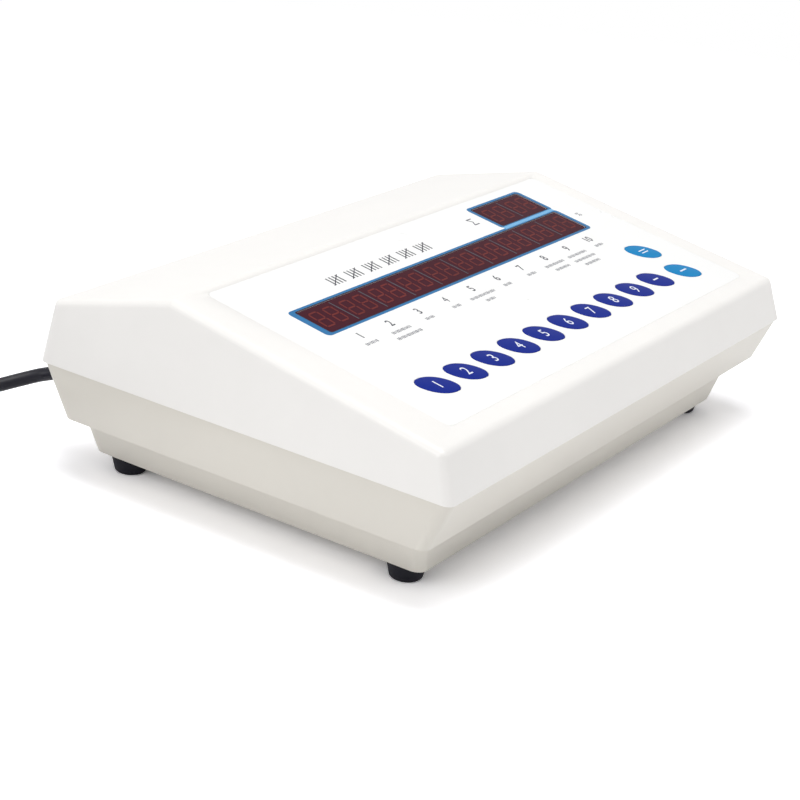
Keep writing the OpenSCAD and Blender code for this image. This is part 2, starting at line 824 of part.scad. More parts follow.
module strain_relief() {
    color("#15151c") translate([-cord_x, pocket_y, cord_z]) rotate([-90, 0, 0]) rotate_extrude()
        polygon([[cord_r + fit_gap, -relief_back], [relief_neck_r + 0.6, -relief_back],
            [relief_neck_r + 0.6, -wall - 0.4], [relief_neck_r, -wall - 0.4],
            [relief_neck_r, 0], [relief_flange_r, 0], [relief_flange_r, 2], [relief_neck_r, 2.6],
            [cord_r + 1.4, relief_out], [cord_r + fit_gap, relief_out]]);
}

function unit(v) = v / norm(v);
function tangent(p, i) = unit(p[min(i + 1, len(p) - 1)] - p[max(i - 1, 0)]);

// Round tube of radius r and n sides through points p
module tube(p, r, n) {
    last = len(p) - 1;
    rings = [for (i = [0:last])
        let (t = tangent(p, i), side = unit(cross(t, [0, 0, 1])), up = cross(side, t))
        for (k = [0:n - 1]) let (a = 360 * (k + 0.5) / n) p[i] + r * (cos(a) * side + sin(a) * up)];
    function at(i, k) = i * n + k % n;
    polyhedron(rings, concat(
        [for (k = [1:n - 2]) [0, k + 1, k]],
        [for (k = [1:n - 2]) [at(last, 0), at(last, k), at(last, k + 1)]],
        [for (i = [0:last - 1], k = [0:n - 1]) [at(i, k), at(i, k + 1), at(i + 1, k + 1)]],
        [for (i = [0:last - 1], k = [0:n - 1]) [at(i, k), at(i + 1, k + 1), at(i + 1, k)]]));
}

// Coil: one layer winding in, half a turn that climbs, one layer winding out on top
coil_middle = [-270, 168];
coil_pitch = 2 * cord_r + coil_gap;
coil_low = tie_t + 0.2 + cord_r;       // the coil lies on its tie
coil_start_a = 90;
turns_in = 2.5;
turns_climb = 0.5;
turns_out = 2.25;
loop_rings = 24;
lead = 8;
turns_all = turns_in + turns_climb + turns_out;

function coil_radius(t) = t < turns_in ? coil_in_r + (turns_in - t) * coil_pitch
    : t < turns_in + turns_climb ? coil_in_r - coil_pitch / 2 * sin(360 * (t - turns_in))
    : coil_in_r + (t - turns_in - turns_climb) * coil_pitch;
function coil_height(t) = coil_low + (t < turns_in ? 0 : t < turns_in + turns_climb
    ? coil_pitch * (1 - cos(360 * (t - turns_in))) / 2 : coil_pitch);
function coil_point(t) = let (a = coil_start_a + 360 * t, r = coil_radius(t))
    [coil_middle.x + r * cos(a), coil_middle.y + r * sin(a), coil_height(t)];
coil_turns = [for (i = [0:round(turns_all * loop_rings)]) coil_point(i / loop_rings)];
coil_first = coil_turns[0];
coil_last = coil_turns[len(coil_turns) - 1];
coil_path = concat([coil_first + [lead, 0, 0]], coil_turns,
    [coil_last - [0, lead, 0], coil_last - [0, 2 * lead, 0]]);
coil_spacing = min([for (i = [0:len(coil_turns) - 1], j = [i + loop_rings / 2:len(coil_turns) - 1])
    norm(coil_turns[i] - coil_turns[j])]);
echo(least_gap_of_the_coil_to_itself = coil_spacing - 2 * cord_r);

// Free stretch, from inside the case to the coil
cord_points = concat([[-cord_x, pocket_y - relief_back, cord_z], [-cord_x, pocket_y, cord_z],
    [-cord_x, pocket_y + relief_out, cord_z]],
    [[-148, 126, 42], [-148.5, 136, 40], [-151.5, 146, 37], [-160, 153.5, 34.3],
    [-171, 160, 32], [-184, 170, 28.5], [-198, 182, 24], [-212, 194, 18.5], [-226, 204, 13],
    [-240, 211.5, 8.5]], [coil_first + [18, 0, 0.4], coil_first + [lead, 0, 0]]);
function run_length(p, i = 1) = i >= len(p) ? 0 : norm(p[i] - p[i - 1]) + run_length(p, i + 1);
echo(cord_length = run_length(cord_points) + run_length(coil_path));

module cord_run() color("#12121a") tube(cord_points, cord_r, 10);

module cord_coil() color("#12121a") tube(coil_path, cord_r, 6);

module coil_tie() {
    room = 0.5;
    reach_in = coil_in_r - cord_r - room;
    reach_out = coil_in_r + 2 * coil_pitch + cord_r + room;
    height = 2 * cord_r + coil_pitch + 2 * room;
    color("#202026") translate([coil_middle.x - tie_w / 2,
            coil_middle.y - (reach_in + reach_out) / 2, tie_t + height / 2 - room + 0.2])
        rotate([90, 0, 90]) linear_extrude(tie_w) difference() {
            rounded_rect(reach_out - reach_in + 2 * tie_t, height + 2 * tie_t - 0.6, 3);
            rounded_rect(reach_out - reach_in, height - 0.6, 2);
        }
}

plug_h = 2 * coil_last.z;
plug_back = [coil_last.x, coil_last.y - 2 * lead, coil_last.z];
sleeve_l = 16;

module mains_plug() {
    color("#15151c") translate(plug_back) rotate([90, 0, 0]) {
        difference() {
            cylinder(r1 = cord_r + 1.2, r2 = cord_r + 3.4, h = sleeve_l + eps);
            for (i = [1:3]) translate([0, 0, i * 4]) difference() {
                cylinder(r = 2 * cord_r, h = 1);
                cylinder(r = cord_r + 0.9, h = 1);
            }
        }
        translate([0, 0, sleeve_l]) difference() {
            intersection() {
                hull() {
                    plate(plug_w - 8, plug_h - 6, 4, 5, $fn = hull_fn);
                    translate([0, 0, 8]) plate(plug_w, plug_h, plug_l - 8, 4, $fn = hull_fn);
                }
                translate([-plug_w / 2, -plug_h / 2, 0]) cube([plug_w, plug_h, plug_l]);
            }
            for (s = [-1, 1], i = [0:3]) translate([s * plug_w / 2, 0, 11 + i * 4])
                cube([1.4, plug_h * 0.6, 1.6], center = true);
        }
    }
}

blade_span = 12.7;
blade_l = 17.5;
earth_drop = 11.9;

module plug_pins() {
    color("silver") translate(plug_back - [0, sleeve_l + plug_l, 0]) rotate([90, 0, 0]) {
        for (s = [-1, 1]) translate([s * blade_span / 2, earth_drop / 2, blade_l / 2])
            cube([1.5, 6.3, blade_l], center = true);
        translate([0, -earth_drop / 2, 0]) {
            cylinder(r = 2.4, h = blade_l + 1);
            translate([0, 0, blade_l + 1]) cylinder(r1 = 2.4, r2 = 1, h = 2);
        }
    }
}

top_cover();
base_tub();
overlay();
membrane_circuit();
dome_contacts();
count_filter();
total_filter();
tally_key(0);  // key_1
tally_key(1);  // key_2
tally_key(2);  // key_3
tally_key(3);  // key_4
tally_key(4);  // key_5
tally_key(5);  // key_6
tally_key(6);  // key_7
tally_key(7);  // key_8
tally_key(8);  // key_9
tally_key(9);  // key_10
function_key(0);  // function_key_front
function_key(1);  // function_key_rear
display_board();
count_digits();
total_digits();
display_screws();
main_board();
main_board_screws();
controller_chip();
driver_chips();
regulator();
heat_sink();
filter_capacitor();
buzzer();
board_headers();
ribbon_cable();
ribbon_sockets();
keypad_tail();
transformer_core();
transformer_winding();
transformer_bracket();
transformer_screws();
switch_housing();
power_rocker();
fuse_holder();
fuse_nut();
fuse_cap();
rubber_feet();
case_screws();
strain_relief();
cord_run();
cord_coil();
coil_tie();
mains_plug();
plug_pins();
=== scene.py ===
# %% [markdown]
# # A bench counter for blood cells, dressed in Blender
#
# The object is a sloped desk console: a white moulded cover on a two-band base, a printed
# panel with ten dark blue tally keys and two light blue ones, a long red display window with a
# short one behind it, and a mains cord. The solids come from CAD and stay where they are.
# Each cell below adds one piece or one finish, and says why it was made in that way.

import bmesh
import bpy
import numpy as np
from mathutils import Matrix


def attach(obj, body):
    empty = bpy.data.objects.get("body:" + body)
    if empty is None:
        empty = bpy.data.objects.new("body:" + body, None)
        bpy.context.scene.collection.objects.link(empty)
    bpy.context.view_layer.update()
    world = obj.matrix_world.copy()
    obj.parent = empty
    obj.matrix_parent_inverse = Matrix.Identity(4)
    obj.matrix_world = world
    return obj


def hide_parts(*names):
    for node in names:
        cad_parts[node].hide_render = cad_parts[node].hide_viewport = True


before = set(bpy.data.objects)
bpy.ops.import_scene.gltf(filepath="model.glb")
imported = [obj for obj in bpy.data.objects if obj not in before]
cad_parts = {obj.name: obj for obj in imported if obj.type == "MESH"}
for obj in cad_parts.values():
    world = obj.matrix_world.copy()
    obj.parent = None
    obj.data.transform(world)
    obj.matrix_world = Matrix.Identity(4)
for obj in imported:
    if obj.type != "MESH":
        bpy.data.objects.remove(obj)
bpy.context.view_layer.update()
scene = bpy.context.scene
MM = 0.001

# %% [markdown]
# ## The camera
#
# The photograph was taken from the left front corner, a little above the panel. The place, the
# turn and the lens were solved from the corners of the case, so that the render can be laid
# over the photograph. Yaw, pitch and roll are easier to read than a matrix, so the matrix is
# built from them here.

# %% Camera
def camera_matrix(place, yaw, pitch, roll):
    """The camera looks along the forward vector given by yaw from +Y and pitch from the floor.
    Right and up are then turned about that vector by roll."""
    y, p, r = np.radians([yaw, pitch, roll])
    forward = np.array([-np.sin(y) * np.cos(p), np.cos(y) * np.cos(p), np.sin(p)])
    right = np.array([np.cos(y), np.sin(y), 0.0])
    up = np.cross(right, forward)
    right, up = right * np.cos(r) + up * np.sin(r), up * np.cos(r) - right * np.sin(r)
    matrix = np.eye(4)
    matrix[:3, :] = np.column_stack([right, up, -forward, np.array(place) * MM])
    return Matrix(matrix.tolist())


camera_place, camera_turn = (-870.5, -517.6, 429.4), (-58.303, -21.962, 5.516)
camera = bpy.data.objects.new("camera", bpy.data.cameras.new("camera"))
scene.collection.objects.link(camera)
camera.matrix_world = camera_matrix(camera_place, *camera_turn)
camera.data.sensor_width = 36.0
camera.data.lens = 89.615
camera.data.clip_start, camera.data.clip_end = 0.05, 60.0
scene.camera = camera
scene.view_settings.view_transform = "Standard"
print("camera place in mm", camera_place, "lens in mm", camera.data.lens)

# %% [markdown]
# ## Helpers for surfaces
#
# Every new surface is a table of points: rows along one parameter and columns along the other.
# numpy works out the whole table at once, and quads join each point to its neighbours, so the
# shape can follow any formula.

# %% Grids
def grid_quads(rows, cols, closed_rows=False, closed_cols=False):
    """Corner numbers of the quads between neighbours in a table of rows by cols points.
    A closed direction joins its last points to its first."""
    i = np.arange(rows if closed_rows else rows - 1)[:, None]
    j = np.arange(cols if closed_cols else cols - 1)[None, :]
    i2, j2 = (i + 1) % rows, (j + 1) % cols
    corners = [i * cols + j, i * cols + j2, i2 * cols + j2, i2 * cols + j]
    return np.stack(np.broadcast_arrays(*corners), -1).reshape(-1, 4)


def ring_quads(rows, cols):
    """Quads of a table that closes on itself both ways, like the skin of a ring."""
    return grid_quads(rows, cols, closed_rows=True, closed_cols=True)


# %% Meshes and pieces
def turn_outwards(mesh):
    """The signed volume is the sum, over all triangles, of the first corner times the cross
    product of the other two. Where it is below zero, the faces look inwards and are turned."""
    mesh.calc_loop_triangles()
    points = np.empty(len(mesh.vertices) * 3)
    mesh.vertices.foreach_get("co", points)
    corners = np.empty(len(mesh.loop_triangles) * 3, np.int32)
    mesh.loop_triangles.foreach_get("vertices", corners)
    points = points.reshape(-1, 3) - points.reshape(-1, 3).mean(0)
    a, b, c = points[corners.reshape(-1, 3)].transpose(1, 0, 2)
    if np.einsum("ij,ij", a, np.cross(b, c)) < 0:
        mesh.flip_normals()


def smooth_to(mesh, angle):
    """Edges that bend by more than the angle stay crisp, and the rest are smoothed."""
    mesh.polygons.foreach_set("use_smooth", np.ones(len(mesh.polygons), bool))
    mesh.set_sharp_from_angle(angle=np.radians(angle))


def add_piece(name, mesh, look, body):
    """The mesh gets the finish of that name and becomes an object that rides on a body."""
    mesh.materials.clear()
    mesh.materials.append(finish[look])
    piece = bpy.data.objects.new(name, mesh)
    scene.collection.objects.link(piece)
    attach(piece, body)
    print(name, "faces:", len(mesh.polygons))
    return piece


def make_piece(name, points, faces, look, body="console", slot=None, sharp=35.0):
    """A piece from a table of points in metres and a list of faces."""
    mesh = bpy.data.meshes.new(name)
    mesh.from_pydata(np.asarray(points, float).reshape(-1, 3).tolist(), [], faces)
    mesh.validate()
    turn_outwards(mesh)
    smooth_to(mesh, sharp)
    return add_piece(name, mesh, look, body)


def rings_with_ends(rings):
    """Faces of a table of closed rings, with one flat face over each end."""
    rows, cols = rings.shape[:2]
    ends = [list(range(cols))[::-1], list(range((rows - 1) * cols, rows * cols))]
    return grid_quads(rows, cols, closed_cols=True).tolist() + ends


def joined(parts):
    """One table of points and one list of faces from several, with the numbers shifted."""
    shift, points, faces = 0, [], []
    for p, f in parts:
        p = np.asarray(p, float).reshape(-1, 3)
        points.append(p)
        faces += [[k + shift for k in face] for face in f]
        shift += len(p)
    return np.concatenate(points), faces


# %% [markdown]
# ## Two working frames
#
# Most of the visible work lies on the sloped panel, and the fittings lie on the slanted rear
# wall. Both get their own coordinates in millimetres, with the third one pointing out of the
# surface, so that a mark is placed where a draughtsman would place it.

# %% Panel and rear wall coordinates
slope_rise, slope_run = 28.2, 159.0
slope_angle = np.arctan2(slope_rise, slope_run)
slope_axes = np.array([[1, 0, 0], [0, np.cos(slope_angle), np.sin(slope_angle)],
                       [0, -np.sin(slope_angle), np.cos(slope_angle)]])
slope_origin = np.array([0, -114.5, 83.0])

half_depth = 122.5
wall_inset_top, wall_inset_foot, wall_top, wall_foot = 0.8, 16.1, 59.5, 33.5
rear_angle = np.arctan2(wall_inset_foot - wall_inset_top, wall_top - wall_foot)
rear_axes = np.array([[1, 0, 0], [0, -np.sin(rear_angle), -np.cos(rear_angle)],
                      [0, np.cos(rear_angle), -np.sin(rear_angle)]])
rear_origin = np.array([0, half_depth - (wall_inset_foot + wall_inset_top) / 2,
                        (wall_top + wall_foot) / 2])


def on_slope(points):
    """Panel coordinates (right, up the slope, out) in mm to the frame in metres."""
    return (np.asarray(points, float) @ slope_axes + slope_origin) * MM


def on_rear_wall(points):
    """Rear wall coordinates (right, down the wall, out) in mm to the frame in metres."""
    return (np.asarray(points, float) @ rear_axes + rear_origin) * MM


recess, stack = 2.3, 2.2  # depth of the panel's recess, and of the layers that lie in it
print("slope in degrees", round(float(np.degrees(slope_angle)), 2))

# %% [markdown]
# ## Shared shader effects
#
# Moulded plastic is never one flat colour. The mould's spark-eroded skin gives a fine grain,
# the colour drifts a little over the part, and dust settles on what faces up. Each effect is a
# node group, built once and placed in many materials with other numbers. The groups give out
# colours, values and heights only. The shader itself stays in the material.

# %% Node group helpers
def new_group(name, inputs, outputs):
    """An empty shader group, the sockets it is given and the sockets it gives out. inputs
    holds a default for each name: four numbers for a colour, one for a value."""
    group = bpy.data.node_groups.new(name, "ShaderNodeTree")
    kind = {True: "NodeSocketColor", False: "NodeSocketFloat"}
    for label, value in inputs.items():
        group.interface.new_socket(label, in_out="INPUT", socket_type=kind[
            isinstance(value, tuple)]).default_value = value
    for label in outputs:
        group.interface.new_socket(label, in_out="OUTPUT", socket_type=kind[label == "Colour"])
    given, out = group.nodes.new("NodeGroupInput"), group.nodes.new("NodeGroupOutput")
    return group, given.outputs, out.inputs


def add_node(tree, kind, inputs=None, **settings):
    """A node with its settings and inputs. An input is a number, a colour or another socket."""
    node = tree.nodes.new(kind)
    for key, value in settings.items():
        setattr(node, key, value)
    for key, value in (inputs or {}).items():
        if isinstance(value, bpy.types.NodeSocket):
            tree.links.new(value, node.inputs[key])
        else:
            node.inputs[key].default_value = value
    return node


# %% Sums, ranges and noise
def maths(tree, operation, a, b=0.0, clamp=False):
    """One operation on two numbers or sockets."""
    return add_node(tree, "ShaderNodeMath", {0: a, 1: b}, operation=operation,
                    use_clamp=clamp).outputs[0]


def blended(tree, factor, a, b, blend="MIX"):
    """One colour mixed from two by a factor."""
    return add_node(tree, "ShaderNodeMix", {0: factor, 6: a, 7: b}, data_type="RGBA",
                    blend_type=blend).outputs[2]


def spread(tree, value, low, high, new_low, new_high, **settings):
    """A value carried from one range to another and held inside it."""
    return add_node(tree, "ShaderNodeMapRange", {0: value, 1: low, 2: high, 3: new_low,
                                                 4: new_high}, **settings).outputs[0]


def object_place(tree):
    """Where a point lies in Object coordinates, so that a texture keeps to its piece."""
    return add_node(tree, "ShaderNodeTexCoord").outputs["Object"]


def noise(tree, place, scale, detail, roughness=0.5):
    """Layered noise at a place, from 0 to 1."""
    return add_node(tree, "ShaderNodeTexNoise", {"Vector": place, "Scale": scale,
                    "Detail": detail, "Roughness": roughness}).outputs["Fac"]


# %% Group: moulded skin
def moulded_skin():
    """Height is fine noise plus a third of a noise ten times as coarse. Colour is the base
    colour, darkened by up to the drift where a broad noise is low. Roughness is the given one,
    moved up and down by a tenth of the broad noise."""
    group, given, out = new_group(
        "moulded_skin", {"Colour": (1, 1, 1, 1), "Drift": 0.04, "Grain": 900.0,
                         "Roughness": 0.4}, ["Colour", "Roughness", "Height"])
    place = object_place(group)
    fine = noise(group, place, given["Grain"], 3.0)
    coarse = noise(group, place, maths(group, "MULTIPLY", given["Grain"], 0.1), 2.0)
    broad = noise(group, place, 14.0, 4.0, 0.6)
    low = maths(group, "SUBTRACT", 1.0, given["Drift"])
    shade = spread(group, broad, 0.35, 0.65, low, 1.0)
    grey = add_node(group, "ShaderNodeCombineColor", {0: shade, 1: shade, 2: shade}).outputs[0]
    tinted = blended(group, 1.0, given["Colour"], grey, "MULTIPLY")
    rough = maths(group, "MULTIPLY", given["Roughness"],
                  spread(group, broad, 0.3, 0.7, 0.9, 1.1))
    height = maths(group, "ADD", fine, maths(group, "MULTIPLY", coarse, 0.33))
    for label, value in (("Colour", tinted), ("Roughness", rough), ("Height", height)):
        group.links.new(value, out[label])
    return group


# %% Group: settled dust
def settled_dust():
    """How far the surface faces up, raised to the third power, times a blotchy noise, times
    the amount. The colour is mixed towards dust grey by that share."""
    group, given, out = new_group(
        "settled_dust", {"Colour": (1, 1, 1, 1), "Dust": (0.55, 0.53, 0.5, 1), "Amount": 0.1},
        ["Colour"])
    normal = add_node(group, "ShaderNodeNewGeometry").outputs["Normal"]
    height = add_node(group, "ShaderNodeSeparateXYZ", {0: normal}).outputs[2]
    facing_up = maths(group, "POWER", maths(group, "MAXIMUM", height, 0.0), 3.0)
    blotch = noise(group, object_place(group), 55.0, 5.0, 0.65)
    share = maths(group, "MULTIPLY", facing_up, spread(group, blotch, 0.42, 0.72, 0.0, 1.0))
    share = maths(group, "MULTIPLY", share, given["Amount"], clamp=True)
    group.links.new(blended(group, share, given["Colour"], given["Dust"]), out["Colour"])
    return group


# %% Group: stripes for laminations, windings and weave
def fine_stripes():
    """A wave along Y or Z of the Object coordinates, pinched to thin dark lines.
    Colour goes from the given one to the line colour, and Height falls in the lines."""
    group, given, out = new_group(
        "fine_stripes", {"Colour": (1, 1, 1, 1), "Line": (0, 0, 0, 1), "Pitch": 0.001,
                         "Along": 0.0, "Width": 0.2}, ["Colour", "Height"])
    _, y, z = add_node(group, "ShaderNodeSeparateXYZ", {0: object_place(group)}).outputs
    chosen = add_node(group, "ShaderNodeMix", {0: given["Along"], 2: y, 3: z},
                      data_type="FLOAT").outputs[0]
    step = maths(group, "FRACT", maths(group, "DIVIDE", chosen, given["Pitch"]))
    off_middle = maths(group, "MULTIPLY", maths(group, "ABSOLUTE",
                       maths(group, "SUBTRACT", step, 0.5)), 2.0)
    edge = maths(group, "SUBTRACT", 1.0, given["Width"])
    line = spread(group, off_middle, edge, 1.0, 0.0, 1.0, interpolation_type="SMOOTHSTEP")
    group.links.new(blended(group, line, given["Colour"], given["Line"]), out["Colour"])
    group.links.new(maths(group, "SUBTRACT", 1.0, line), out["Height"])
    return group


SKIN, DUST, STRIPES = moulded_skin(), settled_dust(), fine_stripes()
print("shader groups", [group.name for group in (SKIN, DUST, STRIPES)])

# %% [markdown]
# ## Finishes
#
# A material here is a Principled shader with the skin group in front of it, and dust over that
# where the piece lies open. Values that are the same all over, such as the shine, the metal or
# the sheen, are set on the shader's own sockets.

# %% The finish builder
def linear(r, g, b):
    """A colour given as it is seen on screen, from 0 to 255, turned to linear light."""
    c = np.array([r, g, b]) / 255.0
    c = np.where(c <= 0.04045, c / 12.92, ((c + 0.055) / 1.055) ** 2.4)
    return (*[float(v) for v in c], 1.0)


def use_group(tree, group, inputs):
    """The outputs of a shared group that is placed in a material."""
    return add_node(tree, "ShaderNodeGroup", inputs, node_tree=group).outputs


def add_relief(tree, bsdf, strength, depth_mm, height):
    """A height from 0 to 1 tilts the shader's normal, as if it were that deep."""
    bump = add_node(tree, "ShaderNodeBump", {"Strength": strength, "Distance": depth_mm * MM,
                                             "Height": height})
    tree.links.new(bump.outputs[0], bsdf.inputs["Normal"])


finish = {}


def plastic(name, colour, rough, grain, bump, depth, drift, dust=0.0, shine=0.5, **shader):
    """A moulded finish, kept under its name. bump is the share and depth the height in mm of
    the skin's relief, and shine is how strongly the surface reflects."""
    material = bpy.data.materials.new(name)
    material.use_nodes = True
    tree = material.node_tree
    bsdf = tree.nodes["Principled BSDF"]
    skin = use_group(tree, SKIN, {"Colour": linear(*colour), "Drift": drift, "Grain": grain,
                                  "Roughness": rough})
    last = skin["Colour"]
    if dust:
        last = use_group(tree, DUST, {"Colour": last, "Amount": dust})["Colour"]
    tree.links.new(last, bsdf.inputs["Base Color"])
    tree.links.new(skin["Roughness"], bsdf.inputs["Roughness"])
    add_relief(tree, bsdf, bump, depth, skin["Height"])
    bsdf.inputs["Specular IOR Level"].default_value = shine
    for key, value in shader.items():
        bsdf.inputs[key.replace("_", " ")].default_value = value
    finish[name] = material
    return tree, bsdf


# %% Case, panel and key finishes
# name, colour, roughness, grain, bump, depth in mm, drift, dust and shine
plastic("cover_white", (245, 243, 240), 0.34, 1100, 0.25, 0.05, 0.02, 0.04, 0.45)
plastic("base_cream", (225, 221, 212), 0.42, 1100, 0.3, 0.05, 0.03, 0.05, 0.4)
plastic("panel_film", (247, 247, 246), 0.3, 2200, 0.2, 0.02, 0.008, shine=0.4)
plastic("key_blue", (3, 34, 136), 0.4, 2200, 0.3, 0.03, 0.05, shine=0.06)
plastic("key_light", (5, 130, 190), 0.4, 2200, 0.3, 0.03, 0.05, shine=0.06)
plastic("ink_white", (232, 236, 246), 0.4, 2600, 0.2, 0.02, 0.03)
plastic("ink_blue", (6, 108, 164), 0.4, 2600, 0.2, 0.02, 0.05, shine=0.2)
plastic("ink_maroon", (52, 30, 44), 0.4, 2600, 0.2, 0.02, 0.08, shine=0.05)
plastic("ink_pale_blue", (112, 178, 224), 0.4, 2600, 0.2, 0.02, 0.04, shine=0.2)
plastic("ink_grey", (62, 64, 82), 0.45, 2600, 0.2, 0.02, 0.08)
plastic("ink_dark", (34, 36, 54), 0.45, 2600, 0.2, 0.02, 0.08)

# %% Rubber, cord and small plastic finishes
plastic("foot_rubber", (16, 16, 26), 0.72, 700, 0.5, 0.12, 0.2, 0.2, 0.25)
plastic("cord_rubber", (9, 9, 24), 0.42, 900, 0.35, 0.08, 0.14, 0.04, 0.3)
plastic("plug_rubber", (14, 14, 27), 0.55, 800, 0.5, 0.1, 0.14, 0.12, 0.3)
plastic("black_plastic", (30, 30, 32), 0.36, 900, 0.35, 0.06, 0.12, 0.08)
plastic("chip_plastic", (40, 40, 43), 0.6, 1500, 0.6, 0.08, 0.15, 0.1)
plastic("capacitor_sleeve", (42, 56, 92), 0.28, 300, 0.2, 0.1, 0.1)
plastic("digit_face", (74, 60, 66), 0.5, 900, 0.2, 0.04, 0.1)
plastic("ghost_red", (116, 48, 45), 0.2, 1500, 0.2, 0.03, 0.2, shine=0.02)
plastic("rim_grey", (86, 84, 92), 0.2, 900, 0.2, 0.04, 0.1, shine=0.02)

# %% [markdown]
# The display windows are dark red acrylic, so dark that the unlit digits show only as a warm
# ghost of their outline. Real refraction would cost many samples for a thin flat sheet, so the
# sheet lets a small fixed part of the light straight through, and keeps its own dark red for
# the rest.

# %% Window finish
plastic("red_window", (70, 22, 36), 0.12, 260, 0.05, 0.04, 0.1, shine=0.02, Alpha=0.985)

# %% [markdown]
# The parts inside are seen only when the case is opened, but they get the finish of their
# trade: green solder mask with copper tracks under it, steel sheets stacked in a core, tape
# round a winding, and bright or brushed metal.

# %% Metal and electronics finishes
def metal(name, colour, rough, scratch=(40.0, 400.0, 40.0)):
    """Metal with noise drawn out along one axis, which reads as rolling or brushing marks."""
    tree, bsdf = plastic(name, colour, rough, 1200, 0.1, 0.02, 0.06, 0.05, Metallic=1.0)
    stretched = add_node(tree, "ShaderNodeMapping", {"Vector": object_place(tree),
                                                     "Scale": scratch}).outputs[0]
    lines = noise(tree, stretched, 18.0, 4.0)
    tree.links.new(spread(tree, lines, 0.3, 0.7, rough * 0.75, rough * 1.3),
                   bsdf.inputs["Roughness"])


def striped(name, colour, line, pitch_mm, along, width=0.25, depth=0.15, rough=0.4, **shader):
    """A finish crossed by fine lines: laminations, tape edges, ribbon wires or weave. Their
    relief takes the place of the skin's."""
    tree, bsdf = plastic(name, colour, rough, 1000, 0.2, 0.03, 0.05, 0.05, **shader)
    lines = use_group(tree, STRIPES, {"Colour": linear(*colour), "Line": linear(*line),
                      "Pitch": pitch_mm * MM, "Along": along, "Width": width})
    tree.links.new(lines["Colour"], bsdf.inputs["Base Color"])
    add_relief(tree, bsdf, 0.6, depth, lines["Height"])


def circuit_green(name):
    """Solder mask: the edges of Voronoi cells stand for tracks, and small dots for pads."""
    tree, bsdf = plastic(name, (22, 92, 50), 0.3, 1200, 0.15, 0.03, 0.08, 0.06)
    place = object_place(tree)
    cells = add_node(tree, "ShaderNodeTexVoronoi", {"Vector": place, "Scale": 160.0,
                     "Randomness": 0.55}, feature="DISTANCE_TO_EDGE", distance="EUCLIDEAN")
    tracks = spread(tree, cells.outputs["Distance"], 0.06, 0.1, 1.0, 0.0)
    dots = add_node(tree, "ShaderNodeTexVoronoi", {"Vector": place, "Scale": 260.0,
                    "Randomness": 0.4}).outputs["Distance"]
    pads = spread(tree, dots, 0.12, 0.16, 1.0, 0.0)
    green = blended(tree, tracks, linear(20, 88, 46), linear(44, 132, 74))
    tree.links.new(blended(tree, pads, green, linear(196, 190, 168)), bsdf.inputs["Base Color"])


metal("screw_steel", (206, 207, 210), 0.28)
metal("pin_metal", (212, 205, 182), 0.22, (400.0, 30.0, 400.0))
metal("bracket_steel", (186, 188, 192), 0.38)
metal("black_aluminium", (44, 46, 50), 0.45, (30.0, 30.0, 300.0))
circuit_green("board_green")
striped("core_steel", (112, 115, 120), (40, 42, 46), 0.7, 0.0, 0.3, Metallic=0.8)
striped("winding_tape", (206, 168, 84), (140, 96, 36), 2.4, 1.0, 0.18, rough=0.32)
striped("ribbon_grey", (166, 170, 176), (96, 98, 104), 1.27, 0.0)
striped("tail_film", (212, 152, 62), (150, 92, 30), 1.5, 0.0, 0.4)
striped("circuit_film", (206, 208, 190), (176, 178, 158), 3.0, 0.0)
metal("contact_steel", (214, 214, 214), 0.2)
print("finishes", sorted(finish))

# %% [markdown]
# ## The mains cord
#
# A captive cord is a fixed length of rubber lead. It leaves the rear left of the case, falls to
# the table in one easy curve and runs out of the picture, where the rest is wound up as it
# would be for storage. The route repeats the points that were chosen for the CAD. The
# free stretch is a Catmull-Rom curve, because that passes through every chosen point. The coil
# is a spiral in two layers, with half a turn that climbs between them.

# %% Cord route
outlet = np.array([-148.0, 103.5, 43.0])
cord_radius = 3.6
tie_thickness = 1.0
coil_middle = np.array([-270.0, 168.0])
coil_inner, coil_pitch = 30.0, 2 * cord_radius + 0.6
coil_floor = tie_thickness + 0.2 + cord_radius
turns_in, turns_climb, turns_out = 2.5, 0.5, 2.25


def coil_route(steps_per_turn=96):
    """Angle grows evenly. The radius shrinks by one pitch a turn, dips while the cord climbs,
    and grows by one pitch a turn on top. The climb follows half a cosine."""
    turns = turns_in + turns_climb + turns_out
    t = np.linspace(0, turns, int(round(turns * steps_per_turn)) + 1)
    climb = np.clip((t - turns_in) / turns_climb, 0, 1)
    out = np.maximum(t - turns_in - turns_climb, 0)
    radius = (coil_inner + np.maximum(turns_in - t, 0) * coil_pitch
              - coil_pitch / 2 * np.sin(np.pi * climb) + out * coil_pitch)
    angle = np.radians(90) + 2 * np.pi * t
    return np.column_stack([coil_middle[0] + radius * np.cos(angle),
                            coil_middle[1] + radius * np.sin(angle),
                            coil_floor + coil_pitch * (1 - np.cos(np.pi * climb)) / 2])


def smooth_route(points, steps):
    """Catmull-Rom: between two chosen points the curve leaves along the line that joins the
    neighbours of the first, and arrives along the line that joins those of the second."""
    p = np.vstack([2 * points[0] - points[1], points, 2 * points[-1] - points[-2]])
    t = np.linspace(0, 1, steps, endpoint=False)[None, :, None]
    a, b, c, d = (p[i:len(p) - 3 + i, None, :] for i in range(4))
    curve = 0.5 * (2 * b + (c - a) * t + (2 * a - 5 * b + 4 * c - d) * t ** 2
                   + (3 * b - a - 3 * c + d) * t ** 3)
    return np.vstack([curve.reshape(-1, 3), points[-1]])


